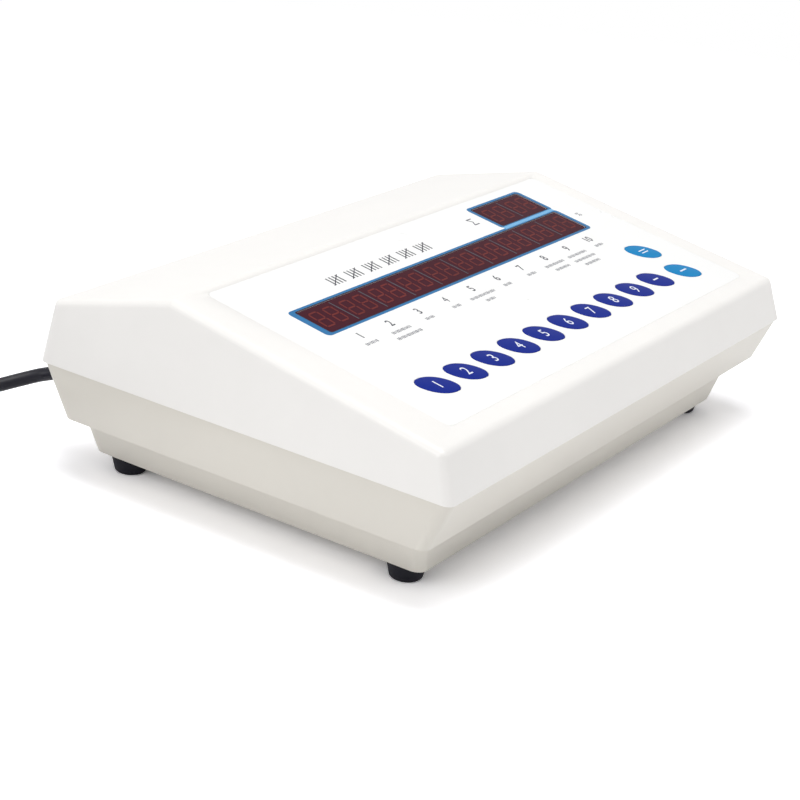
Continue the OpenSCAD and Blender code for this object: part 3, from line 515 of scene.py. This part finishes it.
coil = coil_route()
free_points = np.vstack([
    outlet, [-148, 116.5, 43], [-148, 126, 42], [-148.5, 136, 40], [-151.5, 146, 37],
    [-160, 153.5, 34.3], [-171, 160, 32], [-184, 170, 28.5], [-198, 182, 24], [-212, 194, 18.5],
    [-226, 204, 13], [-240, 211.5, 8.5], coil[0] + [18, 0, 0.4], coil[0] + [8, 0, 0]])
free_route = smooth_route(free_points, 10)
cord_route = np.vstack([free_route, coil, coil[-1] - [0, 8, 0], coil[-1] - [0, 18, 0]])

# %% [markdown]
# The lead itself is a ring of points carried along that route. The ring stays upright, because
# its side is taken across the vertical, so it never twists. The skin of such a cord is drawn
# through a die and shows only a dull, fine grain.

# %% Cord piece
def swept_tube(route, radius, sides):
    """Rings round each route point, in the plane across the path: the radius times the cosine
    goes sideways, and the radius times the sine goes upwards."""
    along = np.gradient(route, axis=0)
    along /= np.linalg.norm(along, axis=1, keepdims=True)
    side = np.cross(along, [0, 0, 1.0])
    side /= np.linalg.norm(side, axis=1, keepdims=True)
    up = np.cross(side, along)
    a = 2 * np.pi * np.arange(sides) / sides
    ring = np.cos(a)[None, :, None] * side[:, None] + np.sin(a)[None, :, None] * up[:, None]
    return route[:, None] + radius * ring


cord_rings = swept_tube(cord_route, cord_radius, 20) * MM
mains_cord = make_piece("mains_cord", cord_rings, rings_with_ends(cord_rings), "cord_rubber",
                        slot="cord_rubber", sharp=60)
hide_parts("cord_run", "cord_coil")

# %% [markdown]
# ## The plug
#
# The cord ends in a moulded plug. Its body is a rounded block that swells from a narrow neck,
# with four grip ribs on each side, and a ringed sleeve keeps the cord from kinking. The body is
# a set of superellipse rings: the exponent turns a round neck into a square shoulder.

# %% Plug body and sleeve
plug_back = coil[-1] - [0, 16, 0]
plug_width, plug_height = 26.0, 2 * float(coil[-1][2])
sleeve_length, plug_length = 16.0, 34.0


def superellipse_rings(along, half_x, half_z, power, sides=64):
    """At each place along the axis, x is half_x times the cosine to the power 2/n, and z is
    half_z times the sine to the same power, with the signs kept."""
    a = 2 * np.pi * np.arange(sides) / sides
    c, s = np.cos(a)[None], np.sin(a)[None]
    n = 2.0 / np.asarray(power, float)[:, None]
    x = np.sign(c) * np.abs(c) ** n * np.asarray(half_x)[:, None]
    z = np.sign(s) * np.abs(s) ** n * np.asarray(half_z)[:, None]
    return np.stack([x, np.broadcast_to(-np.asarray(along)[:, None], x.shape), z], -1)


# %% Plug piece
u = np.linspace(0, 1, 81)  # share of the way along the sleeve
sleeve_round = 4.7 + 2.2 * u + 0.35 * np.sin(2 * np.pi * (4.5 * u - 0.25)) * (u < 0.92)
sleeve = superellipse_rings(u * sleeve_length, sleeve_round, sleeve_round, 2.0 + 0 * u)
w = np.linspace(0, 1, 97)  # share of the way along the body
neck_x, neck_z, neck_end, rib_start, rib_end, rib_pitch = 8.2, 7.6, 0.24, 0.28, 0.72, 0.11
swell = np.clip(w / neck_end, 0, 1) * (2 - np.clip(w / neck_end, 0, 1))
front_round = np.sqrt(1 - np.clip((w - 0.95) / 0.05, 0, 1) ** 2) * 0.06 + 0.94
ribs = 0.7 * ((w > rib_start) & (w < rib_end)) * (
    0.5 - 0.5 * np.cos(2 * np.pi * (w - rib_start) / rib_pitch))
body_half_x = (neck_x + (plug_width / 2 - neck_x) * swell) * front_round - ribs
body_half_z = (neck_z + (plug_height / 2 - neck_z) * swell) * front_round
body = superellipse_rings(sleeve_length - 0.2 + w * (plug_length + 0.2), body_half_x,
                          body_half_z, 2.4 + 2.8 * swell, 96)
plug_parts = joined([((r[:, ::-1] + plug_back) * MM, rings_with_ends(r))
                     for r in (sleeve, body)])
moulded_plug = make_piece("moulded_plug", *plug_parts, "plug_rubber", slot="cord_rubber")
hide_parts("mains_plug")

# %% [markdown]
# ## The tie round the coil
#
# A strap of woven tape holds the coil. It is a flat band with soft edges that goes round the
# bundle along a rounded rectangle. The woven look comes from fine lines across it.

# %% Coil strap
def rounded_rectangle(half_w, half_l, r, per_corner=9):
    """Points of a rounded rectangle, one quarter circle at each corner, counter-clockwise."""
    a = np.radians(np.linspace(0, 90, per_corner))
    quarter = np.column_stack([np.cos(a), np.sin(a)]) * r
    middles = np.array([[half_w - r, half_l - r], [r - half_w, half_l - r],
                        [r - half_w, r - half_l], [half_w - r, r - half_l]])
    turned = np.stack([quarter, quarter[:, ::-1] * [-1, 1], -quarter,
                       quarter[:, ::-1] * [1, -1]])
    return (turned + middles[:, None]).reshape(-1, 2)


def rectangle_loop(half_w, half_l, r, height, middle=(0.0, 0.0)):
    """The outline of a rounded rectangle, moved to its middle and lifted to one height."""
    outline = rounded_rectangle(half_w, half_l, r) + middle
    return np.column_stack([outline, np.full(len(outline), height)])


# %% Strap piece
reach_in = coil_inner - cord_radius - 0.5
reach_out = coil_inner + 2 * coil_pitch + cord_radius + 0.5
bundle_high = 2 * cord_radius + coil_pitch + 1.0
strap_half = np.array([(reach_out - reach_in) / 2 + tie_thickness,
                       bundle_high / 2 + tie_thickness - 0.3])
strap_middle = np.array([coil_middle[0], coil_middle[1] - (reach_in + reach_out) / 2,
                         tie_thickness + bundle_high / 2 - 0.3])


def strap_place(points):
    """Loop coordinates (across the bundle, up, along the cord) to the frame in metres."""
    return (points[..., [2, 0, 1]] + strap_middle) * MM


striped("strap_weave", (38, 38, 46), (14, 14, 20), 0.8, 1.0, 0.45, depth=0.2, rough=0.85,
        Sheen_Weight=0.3)
strap_profile = [(0.0, -3.4), (0.0, 3.4), (0.18, 3.9), (0.5, 4.0), (0.82, 3.9), (1.0, 3.4),
                 (1.0, -3.4), (0.82, -3.9), (0.5, -4.0), (0.18, -3.9)]
strap_loops = np.array([rectangle_loop(*(strap_half - inset), 3.0 - inset, height)
                        for inset, height in strap_profile])
coil_strap = make_piece("coil_strap", strap_place(strap_loops),
                        ring_quads(*strap_loops.shape[:2])[:, ::-1].tolist(), "strap_weave",
                        slot="cord_rubber")
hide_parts("coil_tie")

# %% [markdown]
# ## The strain relief
#
# Where the cord leaves the case, a turned rubber sleeve seats in the wall with a flange and
# tapers along the cord, with grooves that let it bend. A turned piece is a profile of radius
# and length, carried round the axis.

# %% Strain relief
def turned(profile, steps=48):
    """A closed profile of (radius, length) carried once round the length axis, which is Y.
    X is the radius times the cosine, and Z the radius times the sine."""
    a = 2 * np.pi * np.arange(steps) / steps
    r, length = np.asarray(profile, float).T[..., None]
    return np.stack([r * np.cos(a), np.broadcast_to(length, (len(r), steps)), r * np.sin(a)], -1)


relief_taper = np.linspace(3.0, 12.9, 67)
relief_round = 6.0 - (relief_taper - 3) * 0.1 - 0.55 * (0.5 - 0.5 * np.cos(
    2 * np.pi * (relief_taper - 3) / 2.2)) * (relief_taper < 12.0)
relief_profile = np.vstack([
    [[3.66, -8], [6.3, -8], [6.6, -7.7], [6.6, -3.4], [6.0, -3.4], [6.0, 0.02], [7.4, 0.02],
     [7.6, 0.3], [7.6, 1.7], [7.3, 2.0], [6.1, 2.5]],
    np.column_stack([relief_round, relief_taper]), [[4.7, 13.0], [3.66, 13.0]]])
relief_points = turned(relief_profile)
ribbed_relief = make_piece("ribbed_relief", (relief_points + outlet) * MM,
                           ring_quads(*relief_points.shape[:2]).tolist(), "cord_rubber",
                           slot="cord_rubber")
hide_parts("strain_relief")

# %% [markdown]
# ## The keys
#
# Each key is a low dome in the panel film: an oval that leans to the left, so that its long
# axis points past the next key. The oval is built from four tangent arcs, as a die maker would
# cut it. The cap is a table of such ovals, which goes up the wall, round the edge, and over a
# shallow crown.

# %% Key caps
key_half_w, key_half_l, key_end = 7.6, 11.6, 5.0
key_top = -recess + stack + 0.15
key_bottom = key_top - 0.85
row_middle, key_pitch = -12.4, 25.0
tally_x = row_middle + (np.arange(10) - 4.5) * key_pitch
tally_v, func_x, func_v, func_step = 38.2, 129.0, 35.3, 26.5
key_lean, key_steps = np.radians(52.0), 72


def oval_outline(inset):
    """For each direction of the outward normal, the point on the arc that has that normal:
    the end arcs take the normals near the long axis, and the side arcs take the rest.
    The whole outline is then turned by the lean of the keys."""
    side = (key_half_w + key_end + (key_half_l - key_end) ** 2 / (key_half_w - key_end)) / 2
    turn = np.arctan2(key_half_l - key_end, side - key_half_w)
    a = 2 * np.pi * np.arange(key_steps) / key_steps
    normal = np.column_stack([np.cos(a), np.sin(a)])
    at_end = np.abs(np.sin(a)) > np.sin(turn)
    end_middle = np.column_stack([0 * a, np.sign(np.sin(a)) * (key_half_l - key_end)])
    side_middle = np.column_stack([-np.sign(np.cos(a)) * (side - key_half_w), 0 * a])
    middle = np.where(at_end[:, None], end_middle, side_middle)
    outline = middle + normal * (np.where(at_end, key_end, side) - inset)[:, None]
    c, s = np.cos(key_lean), np.sin(key_lean)
    return outline @ np.array([[c, s], [-s, c]])


def key_cap(x, v):
    """Insets round the edge follow a quarter circle, then the outline shrinks to the middle
    while the height follows a parabola."""
    edge_r = crown_rise = 0.28
    rows = [(0.0, 1.0, key_bottom)]
    rows += [(edge_r * (1 - np.cos(e)), 1.0, key_top - 0.3 + edge_r * np.sin(e))
             for e in np.radians(np.linspace(0, 90, 6))]
    rows += [(edge_r, s, key_top - 0.02 + crown_rise * (1 - s * s))
             for s in (0.95, 0.85, 0.7, 0.5, 0.3, 0.1)]
    rings = np.array([np.column_stack([oval_outline(inset) * s + [x, v], np.full(key_steps, h)])
                      for inset, s, h in rows])
    return on_slope(rings)


def add_key(node, body, x, v, look, slot):
    """One domed cap in place of the flat solid of that key."""
    rings = key_cap(x, v)
    cap = make_piece("domed_" + node, rings, rings_with_ends(rings), look, body, slot, 50)
    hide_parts(node)


for k, x in enumerate(tally_x, 1):
    add_key(f"key_{k}", f"tally_key_{k}", x, tally_v, "key_blue", "dark_blue_key")
for side, v in (("front", func_v), ("rear", func_v + func_step)):
    add_key(f"function_key_{side}", f"{side}_function_key", func_x, v, "key_light",
            "light_blue_key")

# %% [markdown]
# ## Printed numbers
#
# Figures are the one case where curves beat a formula: a text object already holds the outline
# of each figure. It is given a hair of thickness, turned into a mesh, and carried to the panel
# in one step, so that the finished piece sits at the origin like all others.

# %% Figures and bars
def print_text(name, text, size, x, v, h, look, body="console", wide=1.0, weight=0.0):
    """Text centred at a point of the panel, raised by 0.02 mm over the height h. wide
    stretches it sideways, and weight thickens its strokes."""
    curve = bpy.data.curves.new(name, "FONT")
    curve.body, curve.size = text, size
    curve.align_x, curve.align_y = "CENTER", "CENTER"
    curve.extrude, curve.offset, curve.resolution_u = 0.01, weight, 6
    maker = bpy.data.objects.new(name + "_maker", curve)
    scene.collection.objects.link(maker)
    bpy.context.view_layer.update()
    mesh = bpy.data.meshes.new_from_object(maker)
    bpy.data.objects.remove(maker)
    points = np.empty(len(mesh.vertices) * 3)
    mesh.vertices.foreach_get("co", points)
    points = points.reshape(-1, 3)
    middle = (points.min(0) + points.max(0)) / 2
    points = (points - middle) * [wide, 1, 1] + [x, v, h + 0.01]
    mesh.vertices.foreach_set("co", on_slope(points).ravel())
    mesh.name = name
    return add_piece(name, mesh, look, body)


def bars(name, rows, h, look, body="console", slot="overlay_film"):
    """Printed bars, one for each row of (x, v, width, length, lean): eight corners and six
    faces. The lean moves the far end to the right and the near end to the left."""
    box = np.array([[-1, -1, 0], [1, -1, 0], [1, 1, 0], [-1, 1, 0],
                    [-1, -1, 1], [1, -1, 1], [1, 1, 1], [-1, 1, 1]], float)
    sides = np.array([[3, 2, 1, 0], [4, 5, 6, 7], [0, 1, 5, 4], [1, 2, 6, 5], [2, 3, 7, 6],
                      [3, 0, 4, 7]])
    rows = np.asarray([(*row, 0.0)[:5] for row in rows], float)
    size = np.column_stack([rows[:, 2] / 2, rows[:, 3] / 2, np.full(len(rows), 0.03)])
    place = np.column_stack([rows[:, :2], np.full(len(rows), h)])
    points = box[None] * size[:, None] + place[:, None]
    points[..., 0] += box[None, :, 1] * rows[:, None, 4]
    faces = (sides[None] + 8 * np.arange(len(rows))[:, None, None]).reshape(-1, 4)
    return make_piece(name, on_slope(points), faces.tolist(), look, body, slot)


# %% Marks on the keys
figure_size, print_height = 9.4, key_top + 0.25
for k, x in enumerate(tally_x[:9], 1):
    print_text(f"figure_{k}", str(k), figure_size, x, tally_v, print_height, "ink_white",
               f"tally_key_{k}", wide=0.95)
bars("tenth_key_dash", [(tally_x[9], tally_v, 5.4, 1.1)], print_height, "ink_white",
     "tally_key_10")
bars("front_function_bar", [(func_x, func_v, 7.0, 1.0)], print_height, "ink_white",
     "front_function_key")
bars("rear_function_bars", [(func_x, func_v + func_step + y, 7.0, 0.8) for y in (1.2, -1.2)],
     print_height, "ink_white", "rear_function_key")

# %% [markdown]
# ## The printed panel
#
# Bright blue frames outline both windows, with a thin dark line inside them and a paler strip
# between them. Under the long window each counter has its number. They all lie on the film as
# a layer of ink a few hundredths of a millimetre thick.

# %% Window frames
film_top = -recess + stack
count_x, count_v, count_w, window_l = -1.35, 109.9, 253.7, 21.9
total_x, total_v, total_w = 100.4, 137.0, 50.47


def window_frame(name, low, high, inner_low, inner_high, look, outer_r=3.0, inner_r=1.5):
    """A flat printed frame between an outer and an inner rounded rectangle, 0.04 mm thick."""
    def loop(a, b, r, lift):
        half, middle = (np.array(b) - a) / 2.0, (np.array(a) + b) / 2.0
        return rectangle_loop(*half, r, film_top + lift, middle)
    rings = np.array([loop(low, high, outer_r, 0.001), loop(low, high, outer_r, 0.04),
                      loop(inner_low, inner_high, inner_r, 0.04),
                      loop(inner_low, inner_high, inner_r, 0.001)])
    faces = ring_quads(*rings.shape[:2]).tolist()
    return make_piece(name, on_slope(rings), faces, look, slot="overlay_film")


def window_limits(x, v, w):
    """Lower left and upper right corner of a window opening in the film."""
    return (x - w / 2, v - window_l / 2), (x + w / 2, v + window_l / 2)


count_low, count_high = window_limits(count_x, count_v, count_w)
total_low, total_high = window_limits(total_x, total_v, total_w)
total_left, frame_right = 71.9, 129.1
for name, low, high, low_in, high_in in (
        ("count", (-133.0, 96.6), (frame_right, 123.2), count_low, count_high),
        ("total", (total_left, 123.6), (frame_right, 150.4), total_low, total_high)):
    line_low, line_high = np.array(low_in) - 0.7, np.array(high_in) + 0.7
    window_frame(f"{name}_frame", low, high, line_low, line_high, "ink_blue")
    window_frame(f"{name}_line", line_low, line_high, low_in, high_in, "ink_maroon", 1.5)
bars("pale_strip", [((total_left + frame_right) / 2, 123.5, 55.0, 2.4)], film_top + 0.03,
     "ink_pale_blue")

# %% [markdown]
# Runs of short upright strokes stand under the numbers. Over the long window stands a row of
# tally groups: four strokes and one across them, the oldest way to count. All of them are flat
# boxes, and one array operation makes a whole family of them from a table of places.

# %% Numbers and strokes on the film
module_pitch, number_size, number_v = 25.37, 7.6, 89.0
counter_x = count_x + (np.arange(10) - 4.5) * module_pitch
printed_x = counter_x - 2.2
for k, x in enumerate(printed_x, 1):
    heavier = 0.0 if k == 4 else 0.1  # thicker strokes would shut the small triangle of the 4
    print_text(f"counter_number_{k}", str(k), number_size, x, number_v, film_top, "ink_dark",
               wide=0.9, weight=heavier)
line_v = (81.4, 76.2, 71.0)  # places of the first, second and third line, up the slope
line_widths = [(10,), (16, 21), (6.6,), (7,), (23, 8), (7,), (8,), (20, 14), (20, 22, 16), (8,)]
strokes = [(middle + x, v, 0.5 + 0.25 * (n % 3 == 1), 2.1 - 0.5 * (n % 4 == 2))
           for middle, widths in zip(printed_x, line_widths) for v, width in zip(line_v, widths)
           for n, x in enumerate(np.arange(-width / 2, width / 2, 1.25))]
bars("short_strokes", strokes, film_top, "ink_grey")
group_x, group_v, stroke_gap = np.linspace(-82.5, -2.0, 6), 133.0, 2.8
group_strokes = [(x + stroke_gap * k, group_v, 1.0, 7.6) for x in group_x for k in range(4)]
group_strokes += [(x + 4.2, group_v, 1.0, 7.8, 5.8) for x in group_x]
bars("tally_groups", group_strokes, film_top, "ink_dark")
bars("sum_mark", [(61.5, 141.1, 5.0, 0.8), (61.5, 134.9, 5.0, 0.8), (60.4, 139.5, 0.9, 3.2, -1.1),
                  (60.4, 136.5, 0.9, 3.2, 1.1)], film_top, "ink_grey")
print_text("percent_mark", "%", 5.6, 138.4, 111.5, film_top, "ink_grey")

# %% [markdown]
# ## Ghosts of the digits
#
# Each counter is a module with two figures of seven segments. Unlit, they show through the dark
# sheet as faint warm outlines, with a greyer line where two modules meet. They are drawn as a
# layer on the sheet, where the eye sees them. A segment is a slim hexagon, and a figure leans a
# little to the right. One hexagon is written once, then turned, moved and repeated for all the
# digits by array arithmetic.

# %% Seven-segment digits
digit_half_w, digit_half_l, segment_half, digit_offset = 3.3, 6.6, 0.52, 5.7
window_top = film_top - 0.1


def seven_segments():
    """Outlines of the seven hexagons of one digit: three lie across and four stand upright."""
    def hexagon(half):
        r, flat_end = segment_half, half - segment_half
        return np.array([[-half, 0], [-flat_end, -r], [flat_end, -r], [half, 0], [flat_end, r],
                         [-flat_end, r]])
    across = hexagon(digit_half_w - 0.25)
    upright = hexagon(digit_half_l / 2 - 0.25)[:, ::-1] * [-1, 1]
    flat = [across + [0, y] for y in (-digit_half_l, 0, digit_half_l)]
    tall = [upright + [x, y] for x in (-digit_half_w, digit_half_w)
            for y in (-digit_half_l / 2, digit_half_l / 2)]
    return np.array(flat + tall)


def segment_piece(name, middles, v):
    """All segments of a row of modules, as slim prisms that stand 0.02 mm on the sheet."""
    shapes = seven_segments()
    shapes[..., 0] += shapes[..., 1] * 0.1
    offsets = np.add.outer(middles, [-digit_offset, digit_offset]).ravel()
    flat = shapes[None] + np.column_stack([offsets, 0 * offsets])[:, None, None] + [0, v]
    flat = flat.reshape(-1, 6, 2)
    low = np.concatenate([flat, np.full(flat.shape[:2] + (1,), window_top + 0.002)], -1)
    high = low + [0, 0, 0.02]
    points = np.stack([low, high], 1).reshape(-1, 3)
    prism = [[5, 4, 3, 2, 1, 0], [6, 7, 8, 9, 10, 11]] + [
        [i, (i + 1) % 6, 6 + (i + 1) % 6, 6 + i] for i in range(6)]
    faces = [[k + 12 * n for k in face] for n in range(len(flat)) for face in prism]
    return make_piece(name, on_slope(points), faces, "ghost_red", slot="red_filter")


segment_piece("count_segments", counter_x, count_v)
segment_piece("total_segments", total_x + np.array([-0.5, 0.5]) * module_pitch, total_v)
rim_w, rim_l = 0.9, 19.0
rims = [(count_x + (k - 5) * module_pitch, count_v, rim_w, rim_l) for k in range(1, 10)]
bars("module_rims", [*rims, (total_x, total_v, rim_w, rim_l)], window_top + 0.002, "rim_grey",
     slot="red_filter")

# %% [markdown]
# ## Case shells
#
# The solids of the cover and the base already have the right shape. Their meshes come as loose
# triangles, though, which shade as small flats along the rounded edges. A copy with its corner
# points merged, and with more say for large faces in the normals, gives smooth highlights.

# %% Smoothed shells
def smoothed_copy(node, name, look):
    """A copy of a CAD solid, merged at 0.5 micrometres and smooth where it bends by less than
    40 degrees. The normals are weighted by the area of the faces."""
    work = bmesh.new()
    work.from_mesh(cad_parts[node].data)
    bmesh.ops.remove_doubles(work, verts=work.verts, dist=5e-7)
    mesh = bpy.data.meshes.new(name)
    work.to_mesh(mesh)
    work.free()
    smooth_to(mesh, 40.0)
    piece = add_piece(name, mesh, look, "console")
    weigh = piece.modifiers.new("weighted_normals", "WEIGHTED_NORMAL")
    weigh.keep_sharp = True
    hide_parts(node)


smoothed_copy("top_cover", "cover_shell", "cover_white")
smoothed_copy("base_tub", "base_shell", "base_cream")

# %% [markdown]
# ## Marks on the switch
#
# A mains rocker carries the two marks that every such switch has, a bar for on and a ring for
# off. They ride on the rocker, so they tilt with it.

# %% Rocker marks
switch_x, rocker_tilt, pivot_out = 118.0, np.radians(10.0), -1.5
rocker_turn = np.array([[np.cos(rocker_tilt), 0, np.sin(rocker_tilt)], [0, 1, 0],
                        [-np.sin(rocker_tilt), 0, np.cos(rocker_tilt)]])


def on_rocker(points):
    """Rocker coordinates (along the rocker, across, out) to the frame, with its tilt at rest."""
    tilted = np.asarray(points, float) @ rocker_turn + [switch_x, 0, pivot_out]
    return on_rear_wall(tilted)


def rocker_face(x):
    """Height of the rocker's raised end over its pivot: it climbs by 1 mm over 3.2 mm."""
    return 3.4 + (np.abs(x) - 4.4) * 0.3125


a = np.linspace(0, 2 * np.pi, 40, endpoint=False)
loops = []
for radius, lift in ((1.5, 0.0), (1.5, 0.03), (1.1, 0.03), (1.1, 0.0)):
    x, y = 6.0 + radius * np.cos(a) * 0.9, radius * np.sin(a)
    loops.append(np.column_stack([x, y, rocker_face(x) + lift]))
off_faces = ring_quads(len(loops), len(a))[:, ::-1].tolist()
make_piece("off_ring", on_rocker(np.array(loops)), off_faces, "ink_white", "switch_rocker",
           "overlay_film")
x, y = np.array([-6.2, -5.8, -5.8, -6.2]), np.array([-1.5, -1.5, 1.5, 1.5])
low_face = np.column_stack([x, y, rocker_face(x)])
on_bar = np.array([low_face, low_face + [0, 0, 0.03]])
make_piece("on_bar", on_rocker(on_bar), rings_with_ends(on_bar), "ink_white", "switch_rocker",
           "overlay_film")

# %% [markdown]
# ## Finishes for the solids that stay
#
# The other CAD solids keep their shape and get the finish of what they are. Their objects are
# not touched beyond their material.

# %% Materials of the CAD nodes
finish_of = {
    "panel_film": "overlay", "circuit_film": "membrane_circuit",
    "contact_steel": "dome_contacts", "red_window": "count_filter total_filter",
    "board_green": "display_board main_board", "digit_face": "count_digits total_digits",
    "screw_steel": "display_screws main_board_screws transformer_screws case_screws",
    "chip_plastic": "controller_chip driver_chips regulator", "black_aluminium": "heat_sink",
    "capacitor_sleeve": "filter_capacitor", "tail_film": "keypad_tail",
    "black_plastic": "buzzer board_headers ribbon_sockets switch_housing power_rocker "
                     "fuse_holder fuse_nut fuse_cap",
    "ribbon_grey": "ribbon_cable", "core_steel": "transformer_core",
    "winding_tape": "transformer_winding", "bracket_steel": "transformer_bracket",
    "foot_rubber": "rubber_feet", "pin_metal": "plug_pins",
}
for look, nodes in finish_of.items():
    for node in nodes.split():
        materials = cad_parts[node].data.materials
        materials.clear()
        materials.append(finish[look])
    print(look, "on", nodes)

# %% [markdown]
# ## Floor and light
#
# The object stands on a pale floor under soft studio light. A wide lamp above gives the top its
# near-white, two weaker ones at the left and the right front model the sides, and the world
# fills the rest. The backdrop is brighter to the camera and in reflections than it is as a
# light, so it doesn't flatten the object.

# %% Floor
def seen_rays(tree):
    """One for rays that the camera or a reflection sends out, and zero for rays of light."""
    rays = add_node(tree, "ShaderNodeLightPath").outputs
    seen = maths(tree, "ADD", rays["Is Camera Ray"], rays["Is Glossy Ray"], clamp=True)
    return maths(tree, "ADD", seen, rays["Is Transmission Ray"], clamp=True)


def floor_finish():
    """Diffuse near-white. Seen directly or by reflection it is 1.5 times as light, and a glow
    is mixed in that grows from 3 per cent at half a metre to all of it at 1.2 metres. So the
    open floor is plain white to the horizon, and the contact with the feet stays dark."""
    material = bpy.data.materials.new("floor_white")
    material.use_nodes = True
    tree = material.node_tree
    tree.nodes.remove(tree.nodes["Principled BSDF"])
    seen = seen_rays(tree)
    far = add_node(tree, "ShaderNodeVectorMath", {0: object_place(tree)},
                   operation="LENGTH").outputs["Value"]
    far = spread(tree, far, 0.5, 1.2, 0.03, 1.0)
    tint = blended(tree, seen, (0.94, 0.94, 0.95, 1), (1.44, 1.44, 1.48, 1))
    matt = add_node(tree, "ShaderNodeBsdfDiffuse", {"Color": tint})
    glow = add_node(tree, "ShaderNodeEmission", {"Color": (1, 1, 1, 1), "Strength": 1.0})
    mix = add_node(tree, "ShaderNodeMixShader", {0: maths(tree, "MULTIPLY", seen, far),
                                                 1: matt.outputs[0], 2: glow.outputs[0]})
    tree.links.new(mix.outputs[0], tree.nodes["Material Output"].inputs[0])
    return material


half_floor, floor_z = 9.0, -5e-5
floor_mesh = bpy.data.meshes.new("floor")
floor_mesh.from_pydata([(x * half_floor, y * half_floor, floor_z)
                        for x, y in ((-1, -1), (1, -1), (1, 1), (-1, 1))], [], [(0, 1, 2, 3)])
floor_mesh.materials.append(floor_finish())
floor = bpy.data.objects.new("floor", floor_mesh)
scene.collection.objects.link(floor)

# %% World and lamps
world = bpy.data.worlds.new("studio")
world.use_nodes = True
scene.world = world
air = world.node_tree
backdrop = air.nodes["Background"]
backdrop.inputs["Color"].default_value = (1, 1, 1, 1)
air.links.new(spread(air, seen_rays(air), 0.0, 1.0, 0.45, 1.0), backdrop.inputs["Strength"])


def soft_lamp(name, place, target, size, watts):
    """A square area lamp at a place in metres, turned so that it shines on the target."""
    data = bpy.data.lights.new(name, "AREA")
    data.shape, data.size, data.energy = "SQUARE", size, watts
    lamp = bpy.data.objects.new(name, data)
    scene.collection.objects.link(lamp)
    forward = np.array(target, float) - place
    forward /= np.linalg.norm(forward)
    side = np.cross(forward, [0.01, 0.02, 1.0])
    side /= np.linalg.norm(side)
    matrix = np.eye(4)
    matrix[:3, :] = np.column_stack([side, np.cross(side, forward), -forward, place])
    lamp.matrix_world = Matrix(matrix.tolist())
    print(name, "watts:", watts)


soft_lamp("top_lamp", (-0.1, -0.1, 1.9), (0.0, 0.0, 0.05), 1.2, 20.0)
soft_lamp("left_lamp", (-1.9, 0.5, 1.2), (-0.05, 0.0, 0.05), 1.2, 11.2)
soft_lamp("right_lamp", (1.0, -1.5, 0.6), (0.15, 0.0, 0.06), 0.8, 2.2)
